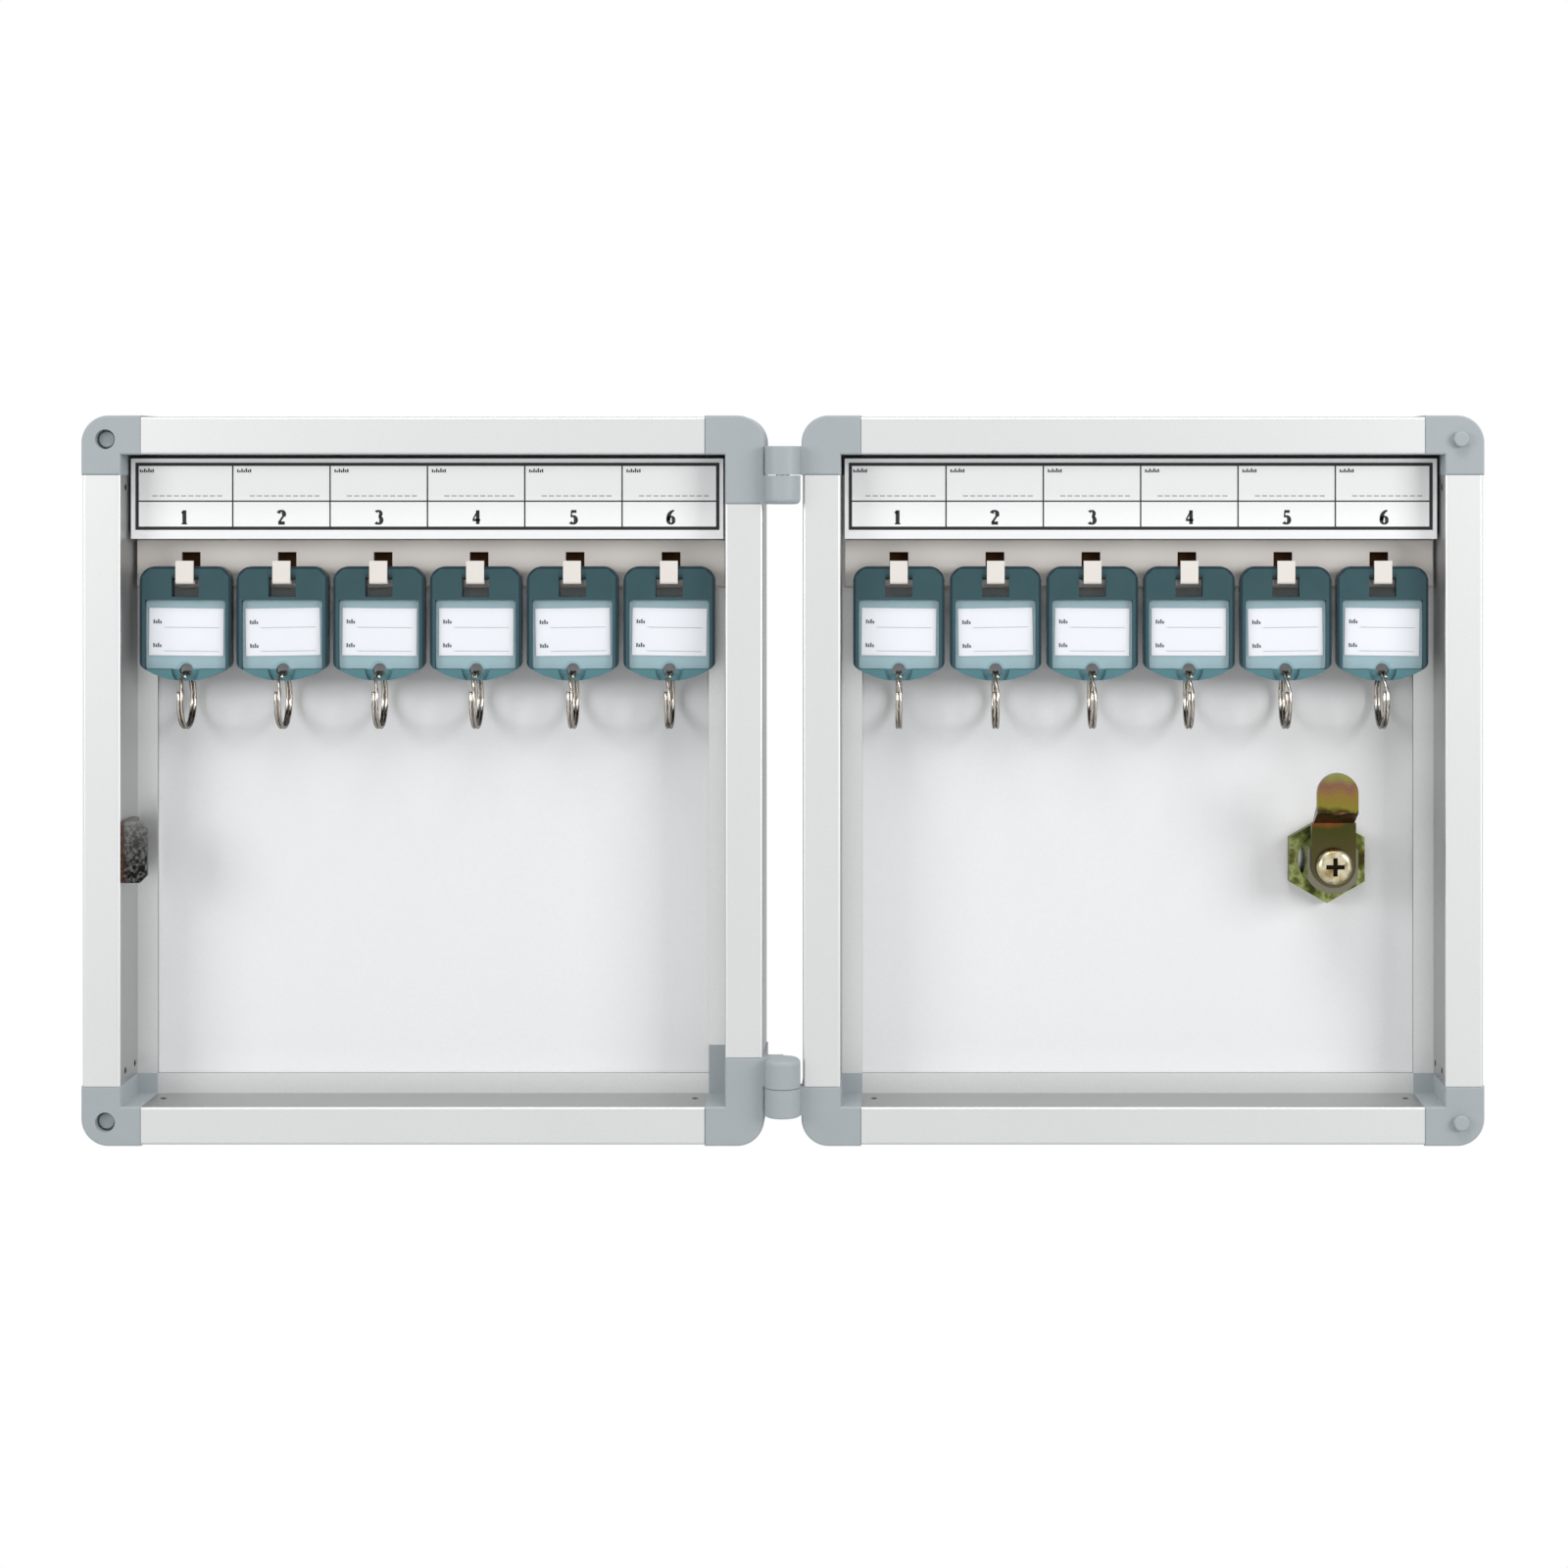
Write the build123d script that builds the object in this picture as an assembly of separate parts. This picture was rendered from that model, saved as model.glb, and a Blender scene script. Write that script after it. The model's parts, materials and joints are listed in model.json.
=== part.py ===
"""Wall key box: two aluminium-framed trays hinged like a book, with hooks, labels, key tags and a cam lock.

Millimetres, +Z up, +X to the right, the front faces -Y. The origin is midway between the two hanger
holes, on the wall. The left tray is fixed to the wall and the right one is its door, open flat.

Each tray is built in its own frame: x from the tray's middle, y from the front plane towards the wall,
z down from the tray's top edge as negative numbers.
"""
import os
from math import cos, radians, sin

from build123d import *

# Trays
TRAY_WIDTH = 200.0
TRAY_HEIGHT = 214.0
TRAY_DEPTH = 24.0
RAIL_FACE = 11.5
RAIL_WALL = 1.2
RAIL_INSET = 0.4
RAIL_EDGE = 0.8
FLANGE_WIDTH = 6.0
FLANGE_THICK = 1.2
LIP_THICK = 1.2
PANEL_THICK = 2.0
PANEL_CLEAR = 0.1

# Corner blocks
CORNER_RADIUS = 8.0
HINGE_LEG = 26.0
SPIGOT_LENGTH = 13.0
SPIGOT_CLEAR = 0.1
CORNER_EDGE = 0.6
SET_SCREW_R = 1.0
SET_SCREW_LENGTH = 4.5
SET_SCREW_CLEAR = 0.05
SET_SCREW_INSET = 3.6
SET_SCREW_DEPTHS = (5.6, 16.2)
HEX_SOCKET_R = 0.6
HEX_SOCKET_DEPTH = 1.2
PEG_FROM_EDGE = 7.0
PEG_R = 2.25
PEG_HEIGHT = 1.8
PEG_EDGE = 0.5
SOCKET_CLEAR = 0.65
SOCKET_DEPTH = 3.4

# Hinges
HINGE_GAP = 10.9
CLOSED_GAP = 0.8
KNUCKLE_CLEAR = 0.3
KNUCKLE_START = 9.0
KNUCKLE_AXIAL_CLEAR = 0.2
KNUCKLE_END_ROUND = 1.5
KNUCKLE_TOP_ROUND = 0.45
PIN_R = 2.0
PIN_RUNNING_CLEAR = 0.06
PIN_TIGHT_CLEAR = 0.02
PIN_END_WALL = 1.6
PIN_END_CLEAR = 0.2

# Wall hangers
HANGER_TO_SPIGOT = 6.0
HANGER_LENGTH = 32.0
HANGER_HEIGHT = 8.6
HANGER_THICK = 1.5
HANGER_CORNER_RADIUS = 2.1
HANGER_HOLE_R = 2.5
HANGER_HEAD_HOLE_R = 4.2
RIVET_R = 1.5
RIVET_CLEAR = 0.05
RIVET_TAIL = 1.0
HANGER_RIVET_OFFSET = 12.0

# Label holders and cards
HOLDER_TOP = 12.6
HOLDER_HEIGHT = 23.7
HOLDER_FRONT = 8.0
HOLDER_WALL = 1.2
HOLDER_END_CLEAR = 1.0
CARD_HEIGHT = 20.8
CARD_TOP_MARGIN = 0.75
CARD_SIDE_MARGIN = 0.7
CARD_THICK = 0.4
CARD_CLEAR = 0.15
CARD_LIP = 0.35
CARD_LIP_THICK = 0.5

# Hook rails
TAG_GAP = 1.6
HOOK_ROW_MARGIN = 2.5
HOOK_RAIL_TOP_CLEAR = 0.3
HOOK_RAIL_BOTTOM = 51.0
HOOK_RAIL_FRONT = 15.2
SHEET = 1.0
SHEET_FOLD_RADIUS = 0.8
HOOK_WIDTH = 5.2
HOOK_REACH = 8.3
HOOK_TIP_HEIGHT = 6.9
HOOK_LEG_TOP = 48.7
WINDOW_SIDE_CLEAR = 0.2
WINDOW_TOP = 40.4

# Key tags
TAG_WIDTH = 27.0
TAG_HEIGHT = 33.8
TAG_SHOULDER = 29.4
TAG_THICK = 3.6
TAG_TOP_RADIUS = 4.5
TAG_LOW_RADIUS = 2.5
TAG_BACK_SPACE = 10.7
SLOT_WIDTH = 8.0
SLOT_HEIGHT = 5.0
SLOT_FROM_TOP = 3.95
HANG_GAP = 0.25
COVER_WIDTH = 23.5
COVER_HEIGHT = 20.2
COVER_TOP = 10.0
COVER_THICK = 1.2
COVER_CORNER_RADIUS = 1.2
COVER_CLEAR = 0.1
PAPER_WIDTH = 22.0
PAPER_HEIGHT = 14.0
PAPER_TOP = 12.4
PAPER_THICK = 0.3
RING_HOLE_R = 1.9
RING_HOLE_FROM_TOP = 30.6
DISH_R = 4.0
DISH_DEPTH = 0.9
NOTCH_R = 2.6

# Split rings
RING_R = 8.2
RING_WIRE_R = 0.5
RING_PITCH = 1.45
RING_CROSS_ANGLE = 18.0
RING_DROP = 0.7

# Lock
LOCK_FROM_EDGE = 43.7
LOCK_FROM_TOP = 132.3
BARREL_R = 8.5
BARREL_HOLE_CLEAR = 0.1
BARREL_FLAT = 7.4
LOCK_FLANGE_R = 11.0
LOCK_FLANGE_THICK = 2.4
LOCK_FLANGE_ROUND = 1.0
PLUG_R = 5.5
PLUG_HEAD_R = 7.2
PLUG_HEAD_THICK = 1.4
PLUG_CLEAR = 0.05
PLUG_FACE_INSET = 0.2
KEYWAY_WIDTH = 1.6
KEYWAY_HEIGHT = 8.0
KEYWAY_DEPTH = 12.0
NUT_ACROSS_FLATS = 22.6
NUT_THICK = 3.4
NUT_CLEAR = 0.1
CAM_THICK = 2.0
CAM_WIDTH = 13.0
CAM_TIP_WIDTH = 12.0
CAM_LENGTH = 28.0
CAM_BEND_START = 12.6
CAM_BEND_END = 16.4
CAM_DEPTH = 2.8
CAM_TO_BARREL = 0.15
CAM_SQUARE = 7.0
CAM_SQUARE_CLEAR = 0.1
CAM_SCREW_R = 2.0
CAM_SCREW_HEAD_R = 5.4
CAM_SCREW_HEAD = 3.0
CAM_SCREW_DOME = 2.1
CAM_SCREW_LENGTH = 9.0
CAM_SCREW_CLEAR = 0.05
CROSS_WIDTH = 1.3
CROSS_SPAN = 5.4
CROSS_DEPTH = 1.6

# Strike
STRIKE_TOP = 119.0
STRIKE_HEIGHT = 18.0
STRIKE_THICK = 1.5
STRIKE_LIP = 7.7
STRIKE_LIP_FRONT = 0.5
STRIKE_LEG = 15.5
STRIKE_CHAMFER = 2.2
STRIKE_RIVET_HEAD_R = 2.6
STRIKE_RIVET_HEAD = 0.8
STRIKE_RIVET_ROUND = 0.5
STRIKE_RIVET_PITCH = 10.0
CAM_TO_LIP = 0.5

# Derived places
CORNER_LEG = RAIL_FACE + FLANGE_WIDTH
LIP_FRONT = TRAY_DEPTH - LIP_THICK
PANEL_BACK = LIP_FRONT - PANEL_CLEAR
PANEL_FRONT = PANEL_BACK - PANEL_THICK
FLANGE_BACK = PANEL_FRONT - PANEL_CLEAR
FLANGE_FRONT = FLANGE_BACK - FLANGE_THICK
HALF_WIDTH = TRAY_WIDTH / 2
INNER_HALF = HALF_WIDTH - RAIL_FACE
HOOK_PITCH = TAG_WIDTH + TAG_GAP
HOOKS = int(2 * (INNER_HALF - HOOK_ROW_MARGIN) / HOOK_PITCH)
AXIS_AHEAD = CLOSED_GAP / 2
KNUCKLE_R = HINGE_GAP / 2 - KNUCKLE_CLEAR
HANGER_Z = (RAIL_FACE + RAIL_INSET) / 2
SPIGOT_END = HALF_WIDTH - CORNER_LEG - SPIGOT_LENGTH
HANGER_X = SPIGOT_END - HANGER_TO_SPIGOT - RIVET_R - HANGER_RIVET_OFFSET
HOOK_RAIL_TOP = HOLDER_TOP + HOLDER_HEIGHT + HOOK_RAIL_TOP_CLEAR
TAG_MID = PANEL_FRONT - TAG_BACK_SPACE
TAG_TOP = HOOK_LEG_TOP - HANG_GAP - SLOT_FROM_TOP
LOCK_X = HALF_WIDTH - LOCK_FROM_EDGE
CAM_BACK = CAM_DEPTH + CAM_THICK
BARREL_END = CAM_BACK + CAM_TO_BARREL
LOCK_FACE = PANEL_BACK + LOCK_FLANGE_THICK
TIP_BACK = -(CLOSED_GAP + STRIKE_LIP_FRONT + STRIKE_THICK + CAM_TO_LIP)
FRONT_Y = -(TRAY_DEPTH + HANGER_THICK)
BODY_AT = Pos(0, FRONT_Y, HANGER_Z)
DOOR_AT = Pos(TRAY_WIDTH + HINGE_GAP, FRONT_Y, HANGER_Z)
THROUGH = 1.0


def block(x0, x1, y0, y1, z0, z1):
    """A box between two opposite corners."""
    size = (abs(x1 - x0), abs(y1 - y0), abs(z1 - z0))
    middle = ((x0 + x1) / 2, (y0 + y1) / 2, (z0 + z1) / 2)
    return Pos(*middle) * Box(*size)


def rod_y(x, z, radius, y0, y1):
    """A round bar along Y."""
    turned = Rot(90, 0, 0) * Cylinder(radius, abs(y1 - y0))
    return Pos(x, (y0 + y1) / 2, z) * turned


def rod_x(y, z, radius, x0, x1):
    """A round bar along X."""
    turned = Rot(0, 90, 0) * Cylinder(radius, abs(x1 - x0))
    return Pos((x0 + x1) / 2, y, z) * turned


def rod_z(x, y, radius, z0, z1):
    """A round bar along Z."""
    return Pos(x, y, (z0 + z1) / 2) * Cylinder(radius, abs(z1 - z0))


def plate_y(face, y0, y1):
    """A flat sketch drawn in x and z, given its thickness along Y."""
    slab = extrude(Plane.XZ * face, amount=abs(y1 - y0) / 2, both=True)
    return Pos(0, (y0 + y1) / 2, 0) * slab


def mirrored(shape):
    return mirror(shape, about=Plane.YZ)


def flipped(shape):
    """Turn a piece of the tray's upper edge over to its lower edge."""
    over = mirror(shape, about=Plane.XY)
    return Pos(0, 0, -TRAY_HEIGHT) * over


def rail(start, end):
    """A hollow rail of the top edge from x = start to x = end, with the two lips that hold the panel."""
    tube = block(start, end, 0, TRAY_DEPTH, -RAIL_FACE, -RAIL_INSET)
    tube = fillet(tube.edges().filter_by(Axis.X).group_by(Axis.Y)[0], RAIL_EDGE)
    hollow_low = -RAIL_FACE + RAIL_WALL
    hollow_high = -RAIL_INSET - RAIL_WALL
    tube -= block(start, end, RAIL_WALL, TRAY_DEPTH - RAIL_WALL, hollow_low, hollow_high)
    tube += block(start, end, FLANGE_FRONT, FLANGE_BACK, -CORNER_LEG, -RAIL_FACE)
    tube += block(start, end, LIP_FRONT, TRAY_DEPTH, -CORNER_LEG, -RAIL_FACE)
    return tube


def upright(start, end, right):
    """A rail of a side edge, from a distance below the top edge to another."""
    side = rail(start, end)
    side = Rot(0, 90, 0) * side
    side = mirrored(side)
    side = Pos(-HALF_WIDTH, 0, 0) * side
    if right:
        side = mirrored(side)
    return side


def set_screw():
    """A headless screw that points up from z = 0, where its end lies flush, with its hexagon socket."""
    screw = rod_z(0, 0, SET_SCREW_R, 0, SET_SCREW_LENGTH)
    return screw - extrude(RegularPolygon(HEX_SOCKET_R, 6), amount=HEX_SOCKET_DEPTH)


def screw_places(leg_left, leg_right):
    """Placed set screws of one tray: two at each end of a side rail, one at each end of the others."""
    across = HALF_WIDTH - CORNER_LEG - SET_SCREW_INSET
    mid = TRAY_DEPTH / 2
    places = []
    for x in (-across, across):
        places.append(Pos(x, mid, -RAIL_FACE))
        places.append(Pos(x, mid, RAIL_FACE - TRAY_HEIGHT) * Rot(180, 0, 0))
    for side, leg in ((-1, leg_left), (1, leg_right)):
        for down in (leg + SET_SCREW_INSET, TRAY_HEIGHT - leg - SET_SCREW_INSET):
            for depth in SET_SCREW_DEPTHS:
                places.append(Pos(side * INNER_HALF, depth, -down) * Rot(0, side * 90, 0))
    return places


def corner_screws(leg_left, leg_right):
    return [place * set_screw() for place in screw_places(leg_left, leg_right)]


def screw_cutters(leg_left, leg_right):
    cutter = rod_z(0, 0, SET_SCREW_R + SET_SCREW_CLEAR, -THROUGH, SET_SCREW_LENGTH + SET_SCREW_CLEAR)
    return [place * cutter for place in screw_places(leg_left, leg_right)]


def corner(leg_down):
    """The top left corner block, with its spigots in both rails."""
    left = -HALF_WIDTH
    solid = block(left, left + CORNER_LEG, 0, TRAY_DEPTH, -leg_down, 0)
    outer = solid.edges().filter_by(Axis.Y).sort_by(lambda edge: edge.center().X - edge.center().Z)[0]
    solid = fillet(outer, CORNER_RADIUS)
    inner = left + RAIL_FACE
    inner_end = left + CORNER_LEG + THROUGH
    low = -leg_down - THROUGH
    solid -= block(inner, inner_end, -THROUGH, FLANGE_FRONT, low, -RAIL_FACE)
    solid -= block(inner, inner_end, FLANGE_BACK, LIP_FRONT, low, -RAIL_FACE)
    rim = solid.edges().group_by(Axis.Y)[0]
    solid = fillet(rim, CORNER_EDGE)
    near = RAIL_INSET + RAIL_WALL + SPIGOT_CLEAR
    far = RAIL_FACE - RAIL_WALL - SPIGOT_CLEAR
    front = RAIL_WALL + SPIGOT_CLEAR
    back = TRAY_DEPTH - RAIL_WALL - SPIGOT_CLEAR
    root = left + CORNER_LEG
    solid += block(root, root + SPIGOT_LENGTH, front, back, -far, -near)
    solid += block(left + near, left + far, front, back, -leg_down - SPIGOT_LENGTH, -leg_down)
    return solid


def socket(solid):
    """Sink the closing socket into a free corner of the fixed tray."""
    x = -HALF_WIDTH + PEG_FROM_EDGE
    return solid - rod_y(x, -PEG_FROM_EDGE, PEG_R + SOCKET_CLEAR, -THROUGH, SOCKET_DEPTH)


def peg(solid):
    """Stand the closing peg on a free corner of the door, here drawn on the left."""
    x = -HALF_WIDTH + PEG_FROM_EDGE
    pin = rod_y(x, -PEG_FROM_EDGE, PEG_R, -PEG_HEIGHT, THROUGH)
    pin = fillet(pin.edges().group_by(Axis.Y)[0], PEG_EDGE)
    return solid + pin


def knuckle(solid, side, start, end, bore_r, blind):
    """Add a hinge knuckle beside a corner block: side is +1 right of the tray, -1 left of it."""
    axis_x = side * (HALF_WIDTH + HINGE_GAP / 2)
    barrel = rod_z(axis_x, -AXIS_AHEAD, KNUCKLE_R, -end, -start)
    far_end = barrel.edges().group_by(Axis.Z)[0 if blind else -1]
    barrel = fillet(far_end, KNUCKLE_END_ROUND if blind else KNUCKLE_TOP_ROUND)
    web = block(side * (HALF_WIDTH - THROUGH), axis_x, 0, KNUCKLE_R - AXIS_AHEAD, -end, -start)
    solid = solid + web + barrel
    bore_low = end - PIN_END_WALL if blind else end + THROUGH
    return solid - rod_z(axis_x, -AXIS_AHEAD, bore_r, -bore_low, -start + THROUGH)


def hinge_split():
    """Where the two knuckles of a hinge meet, below the tray's top edge."""
    return CORNER_LEG


def body_corners():
    plain = socket(corner(CORNER_LEG))
    start = hinge_split() + KNUCKLE_AXIAL_CLEAR / 2
    hinged = knuckle(mirrored(corner(HINGE_LEG)), 1, start, HINGE_LEG, PIN_R + PIN_TIGHT_CLEAR, True)
    return {
        "body_corner_top_left": plain,
        "body_corner_bottom_left": flipped(plain),
        "body_hinge_corner_top": hinged,
        "body_hinge_corner_bottom": flipped(hinged),
    }


def door_corners():
    plain = mirrored(peg(corner(CORNER_LEG)))
    end = hinge_split() - KNUCKLE_AXIAL_CLEAR / 2
    hinged = knuckle(corner(CORNER_LEG), -1, KNUCKLE_START, end, PIN_R + PIN_RUNNING_CLEAR, False)
    return {
        "door_corner_top_right": plain,
        "door_corner_bottom_right": flipped(plain),
        "door_hinge_corner_top": hinged,
        "door_hinge_corner_bottom": flipped(hinged),
    }


def hinge_pins():
    """Both steel pins, in the fixed tray's frame."""
    axis_x = HALF_WIDTH + HINGE_GAP / 2
    low = HINGE_LEG - PIN_END_WALL - PIN_END_CLEAR
    pin = rod_z(axis_x, -AXIS_AHEAD, PIN_R, -low, -KNUCKLE_START)
    return [pin, flipped(pin)]


def hangers():
    """Steel hanger plates on the back of the top rail, and their rivets."""
    plates = []
    rivets = []
    back = TRAY_DEPTH + HANGER_THICK
    for x in (-HANGER_X, HANGER_X):
        half = HANGER_LENGTH / 2
        tall = HANGER_HEIGHT / 2
        plate = block(x - half, x + half, TRAY_DEPTH, back, -HANGER_Z - tall, -HANGER_Z + tall)
        plate = fillet(plate.edges().filter_by(Axis.Y), HANGER_CORNER_RADIUS)
        plate -= rod_y(x, -HANGER_Z, HANGER_HOLE_R, TRAY_DEPTH - THROUGH, back + THROUGH)
        hole_r = RIVET_R + RIVET_CLEAR
        for offset in (-HANGER_RIVET_OFFSET, HANGER_RIVET_OFFSET):
            plate -= rod_y(x + offset, -HANGER_Z, hole_r, TRAY_DEPTH - THROUGH, back + THROUGH)
            inner = TRAY_DEPTH - RAIL_WALL - RIVET_TAIL
            rivets.append(rod_y(x + offset, -HANGER_Z, RIVET_R, inner, back))
        plates.append(plate)
    return plates, rivets


def body_top_rail():
    """The top rail, with the openings behind the hanger plates."""
    top = rail(-HALF_WIDTH + CORNER_LEG, HALF_WIDTH - CORNER_LEG)
    wall_front = TRAY_DEPTH - RAIL_WALL - THROUGH
    for x in (-HANGER_X, HANGER_X):
        top -= rod_y(x, -HANGER_Z, HANGER_HEAD_HOLE_R, wall_front, TRAY_DEPTH + THROUGH)
        for offset in (-HANGER_RIVET_OFFSET, HANGER_RIVET_OFFSET):
            top -= rod_y(x + offset, -HANGER_Z, RIVET_R + RIVET_CLEAR, wall_front, TRAY_DEPTH + THROUGH)
    return top


def panel():
    """The sheet that closes the tray, in the groove between the rails' two lips."""
    edge = RAIL_FACE + PANEL_CLEAR
    low = edge - TRAY_HEIGHT
    return block(-HALF_WIDTH + edge, HALF_WIDTH - edge, PANEL_FRONT, PANEL_BACK, low, -edge)


def label_holder():
    """Channel across the tray's top whose front pocket takes the label card."""
    half = INNER_HALF - HOLDER_END_CLEAR
    top = -HOLDER_TOP
    low = -HOLDER_TOP - HOLDER_HEIGHT
    solid = block(-half, half, HOLDER_FRONT, FLANGE_FRONT, low, top)
    front_wall = HOLDER_WALL + CARD_THICK + CARD_LIP_THICK + CARD_CLEAR
    inner_low = low + HOLDER_WALL
    inner_top = top - HOLDER_WALL
    solid -= block(-half, half, HOLDER_FRONT + front_wall, FLANGE_FRONT + THROUGH, inner_low, inner_top)
    card_low, card_top = card_span()
    slot_low = card_low - CARD_CLEAR
    slot_top = card_top + CARD_CLEAR
    slot_half = half - CARD_SIDE_MARGIN + CARD_CLEAR
    slot_front = HOLDER_FRONT + CARD_LIP_THICK
    slot_back = slot_front + CARD_THICK + CARD_CLEAR
    solid -= block(-slot_half, slot_half, slot_front, slot_back, slot_low, slot_top)
    window_half = slot_half - CARD_LIP
    window_low = slot_low + CARD_LIP
    window_top = slot_top - CARD_LIP
    solid -= block(-window_half, window_half, HOLDER_FRONT - THROUGH, slot_back, window_low, window_top)
    return solid


def card_span():
    """Lower and upper edge of the label card."""
    top = -HOLDER_TOP - CARD_TOP_MARGIN
    return top - CARD_HEIGHT, top


def label_card():
    card_low, card_top = card_span()
    half = INNER_HALF - HOLDER_END_CLEAR - CARD_SIDE_MARGIN
    back = HOLDER_FRONT + CARD_LIP_THICK + CARD_THICK + CARD_CLEAR
    return block(-half, half, back - CARD_THICK, back, card_low, card_top)


def hook_places():
    first = -HOOK_PITCH * (HOOKS - 1) / 2
    return [first + HOOK_PITCH * index for index in range(HOOKS)]


def hook(x):
    """One lanced hook: a leg out of the rail and a tip that turns up."""
    half = HOOK_WIDTH / 2
    leg_low = -HOOK_LEG_TOP - SHEET
    outer = HOOK_RAIL_FRONT - HOOK_REACH
    leg = block(x - half, x + half, outer, HOOK_RAIL_FRONT + SHEET, leg_low, -HOOK_LEG_TOP)
    tip = block(x - half, x + half, outer, outer + SHEET, leg_low, leg_low + HOOK_TIP_HEIGHT)
    bent = leg + tip
    heel = bent.edges().filter_by(Axis.X).sort_by(lambda edge: edge.center().Y + edge.center().Z)[0]
    return fillet(heel, SHEET_FOLD_RADIUS)


def hook_rail():
    """Folded sheet across the tray with a row of lanced hooks, standing on the side rails' flanges."""
    half = INNER_HALF - HOLDER_END_CLEAR
    top = -HOOK_RAIL_TOP
    low = -HOOK_RAIL_BOTTOM
    solid = block(-half, half, HOOK_RAIL_FRONT, FLANGE_FRONT, low, top)
    solid -= block(-half, half, HOOK_RAIL_FRONT + SHEET, FLANGE_FRONT + THROUGH, low + SHEET, top - SHEET)
    front_edges = solid.edges().filter_by(Axis.X).group_by(Axis.Y)[0]
    solid = fillet(front_edges, SHEET_FOLD_RADIUS)
    window_half = HOOK_WIDTH / 2 + WINDOW_SIDE_CLEAR
    window_front = HOOK_RAIL_FRONT - THROUGH
    window_back = HOOK_RAIL_FRONT + SHEET + THROUGH
    for x in hook_places():
        left = x - window_half
        right = x + window_half
        solid -= block(left, right, window_front, window_back, -HOOK_LEG_TOP, -WINDOW_TOP)
        solid += hook(x)
    return solid


def tag_outline():
    """The tag's outline in x and z, its top edge at z = 0."""
    half = TAG_WIDTH / 2
    sides = Polyline((-half, -TAG_SHOULDER), (-half, 0), (half, 0), (half, -TAG_SHOULDER))
    belly = ThreePointArc((half, -TAG_SHOULDER), (0, -TAG_HEIGHT), (-half, -TAG_SHOULDER))
    face = make_face([sides, belly])
    face = fillet(face.vertices().group_by(Axis.Y)[-1], TAG_TOP_RADIUS)
    return fillet(face.vertices().group_by(Axis.Y)[0], TAG_LOW_RADIUS)


def tag_tray():
    """The tag's coloured tray: hook slot with a rounded bar over it, paper pocket and ring hole."""
    half = TAG_THICK / 2
    solid = plate_y(tag_outline(), -half, half)
    slot_half = SLOT_WIDTH / 2
    bar_z = -SLOT_FROM_TOP + half
    solid -= block(-slot_half, slot_half, -TAG_THICK, TAG_THICK, -SLOT_FROM_TOP - SLOT_HEIGHT, bar_z)
    solid += rod_x(0, bar_z, half, -slot_half, slot_half)
    wide = COVER_WIDTH / 2 + COVER_CLEAR
    low = -COVER_TOP - COVER_HEIGHT - COVER_CLEAR
    floor = -half + COVER_THICK + COVER_CLEAR + PAPER_THICK
    solid -= block(-wide, wide, -TAG_THICK, floor, low, -COVER_TOP + COVER_CLEAR)
    hole_z = -RING_HOLE_FROM_TOP
    solid -= rod_y(0, hole_z, RING_HOLE_R, -TAG_THICK, TAG_THICK)
    solid -= rod_y(0, hole_z, DISH_R, -TAG_THICK, -half + DISH_DEPTH)
    solid -= rod_y(0, hole_z, DISH_R, half - DISH_DEPTH, TAG_THICK)
    return solid


def tag_paper():
    floor = -TAG_THICK / 2 + COVER_THICK + COVER_CLEAR + PAPER_THICK
    half = PAPER_WIDTH / 2
    return block(-half, half, floor - PAPER_THICK, floor, -PAPER_TOP - PAPER_HEIGHT, -PAPER_TOP)


def tag_cover():
    """The clear cover, notched round the ring hole, held in the tray's pocket."""
    half = COVER_WIDTH / 2
    front = -TAG_THICK / 2
    solid = block(-half, half, front, front + COVER_THICK, -COVER_TOP - COVER_HEIGHT, -COVER_TOP)
    solid = fillet(solid.edges().filter_by(Axis.Y), COVER_CORNER_RADIUS)
    return solid - rod_y(0, -RING_HOLE_FROM_TOP, NOTCH_R, -TAG_THICK, TAG_THICK)


def ring_point(angle, x):
    """A point of the ring's centre line, the angle counted from the bottom, about the ring's own centre."""
    turn = radians(angle)
    return (x, RING_R * sin(turn), -RING_R * cos(turn))


def split_ring():
    """A flat coil of nearly two turns: one turn, a short crossing and a second turn beside it."""
    side = RING_PITCH / 2
    start = RING_CROSS_ANGLE
    end = 360 - RING_CROSS_ANGLE
    path = []
    for x in (-side, side):
        for first, last in ((start, 180), (180, end)):
            middle = (first + last) / 2
            points = [ring_point(angle, x) for angle in (first, middle, last)]
            path.append(ThreePointArc(*points))
    leave = path[1] % 1
    arrive = path[2] % 0
    half_way = ring_point(0, 0)
    path.append(TangentArc(path[1] @ 1, half_way, tangent=leave))
    path.append(TangentArc(path[2] @ 0, half_way, tangent=arrive * -1))
    centre_line = Wire(path)
    start_plane = Plane(origin=centre_line @ 0, z_dir=centre_line % 0)
    return sweep(start_plane * Circle(RING_WIRE_R), path=centre_line)


def ring_centre_below_tag():
    """How far the ring's centre hangs below the tag's top edge."""
    return RING_HOLE_FROM_TOP + RING_DROP + RING_R


def tags_and_rings(prefix, place):
    """Every tag of one tray, with its ring, as named nodes."""
    nodes = {}
    for index, x in enumerate(hook_places(), start=1):
        at = place * Pos(x, TAG_MID, -TAG_TOP)
        nodes[f"{prefix}_tag_{index}"] = [at * tag_tray(), at * tag_paper(), at * tag_cover()]
        hung = at * Pos(0, 0, -ring_centre_below_tag())
        nodes[f"{prefix}_ring_{index}"] = [hung * split_ring()]
    return nodes


def lock_at(solid):
    """Move a lock piece from the lock's own axis to its place in the door."""
    return Pos(LOCK_X, 0, -LOCK_FROM_TOP) * solid


def door_panel():
    sheet = panel()
    hole = lock_at(rod_y(0, 0, BARREL_R + BARREL_HOLE_CLEAR, 0, TRAY_DEPTH + THROUGH))
    return sheet - hole


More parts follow.
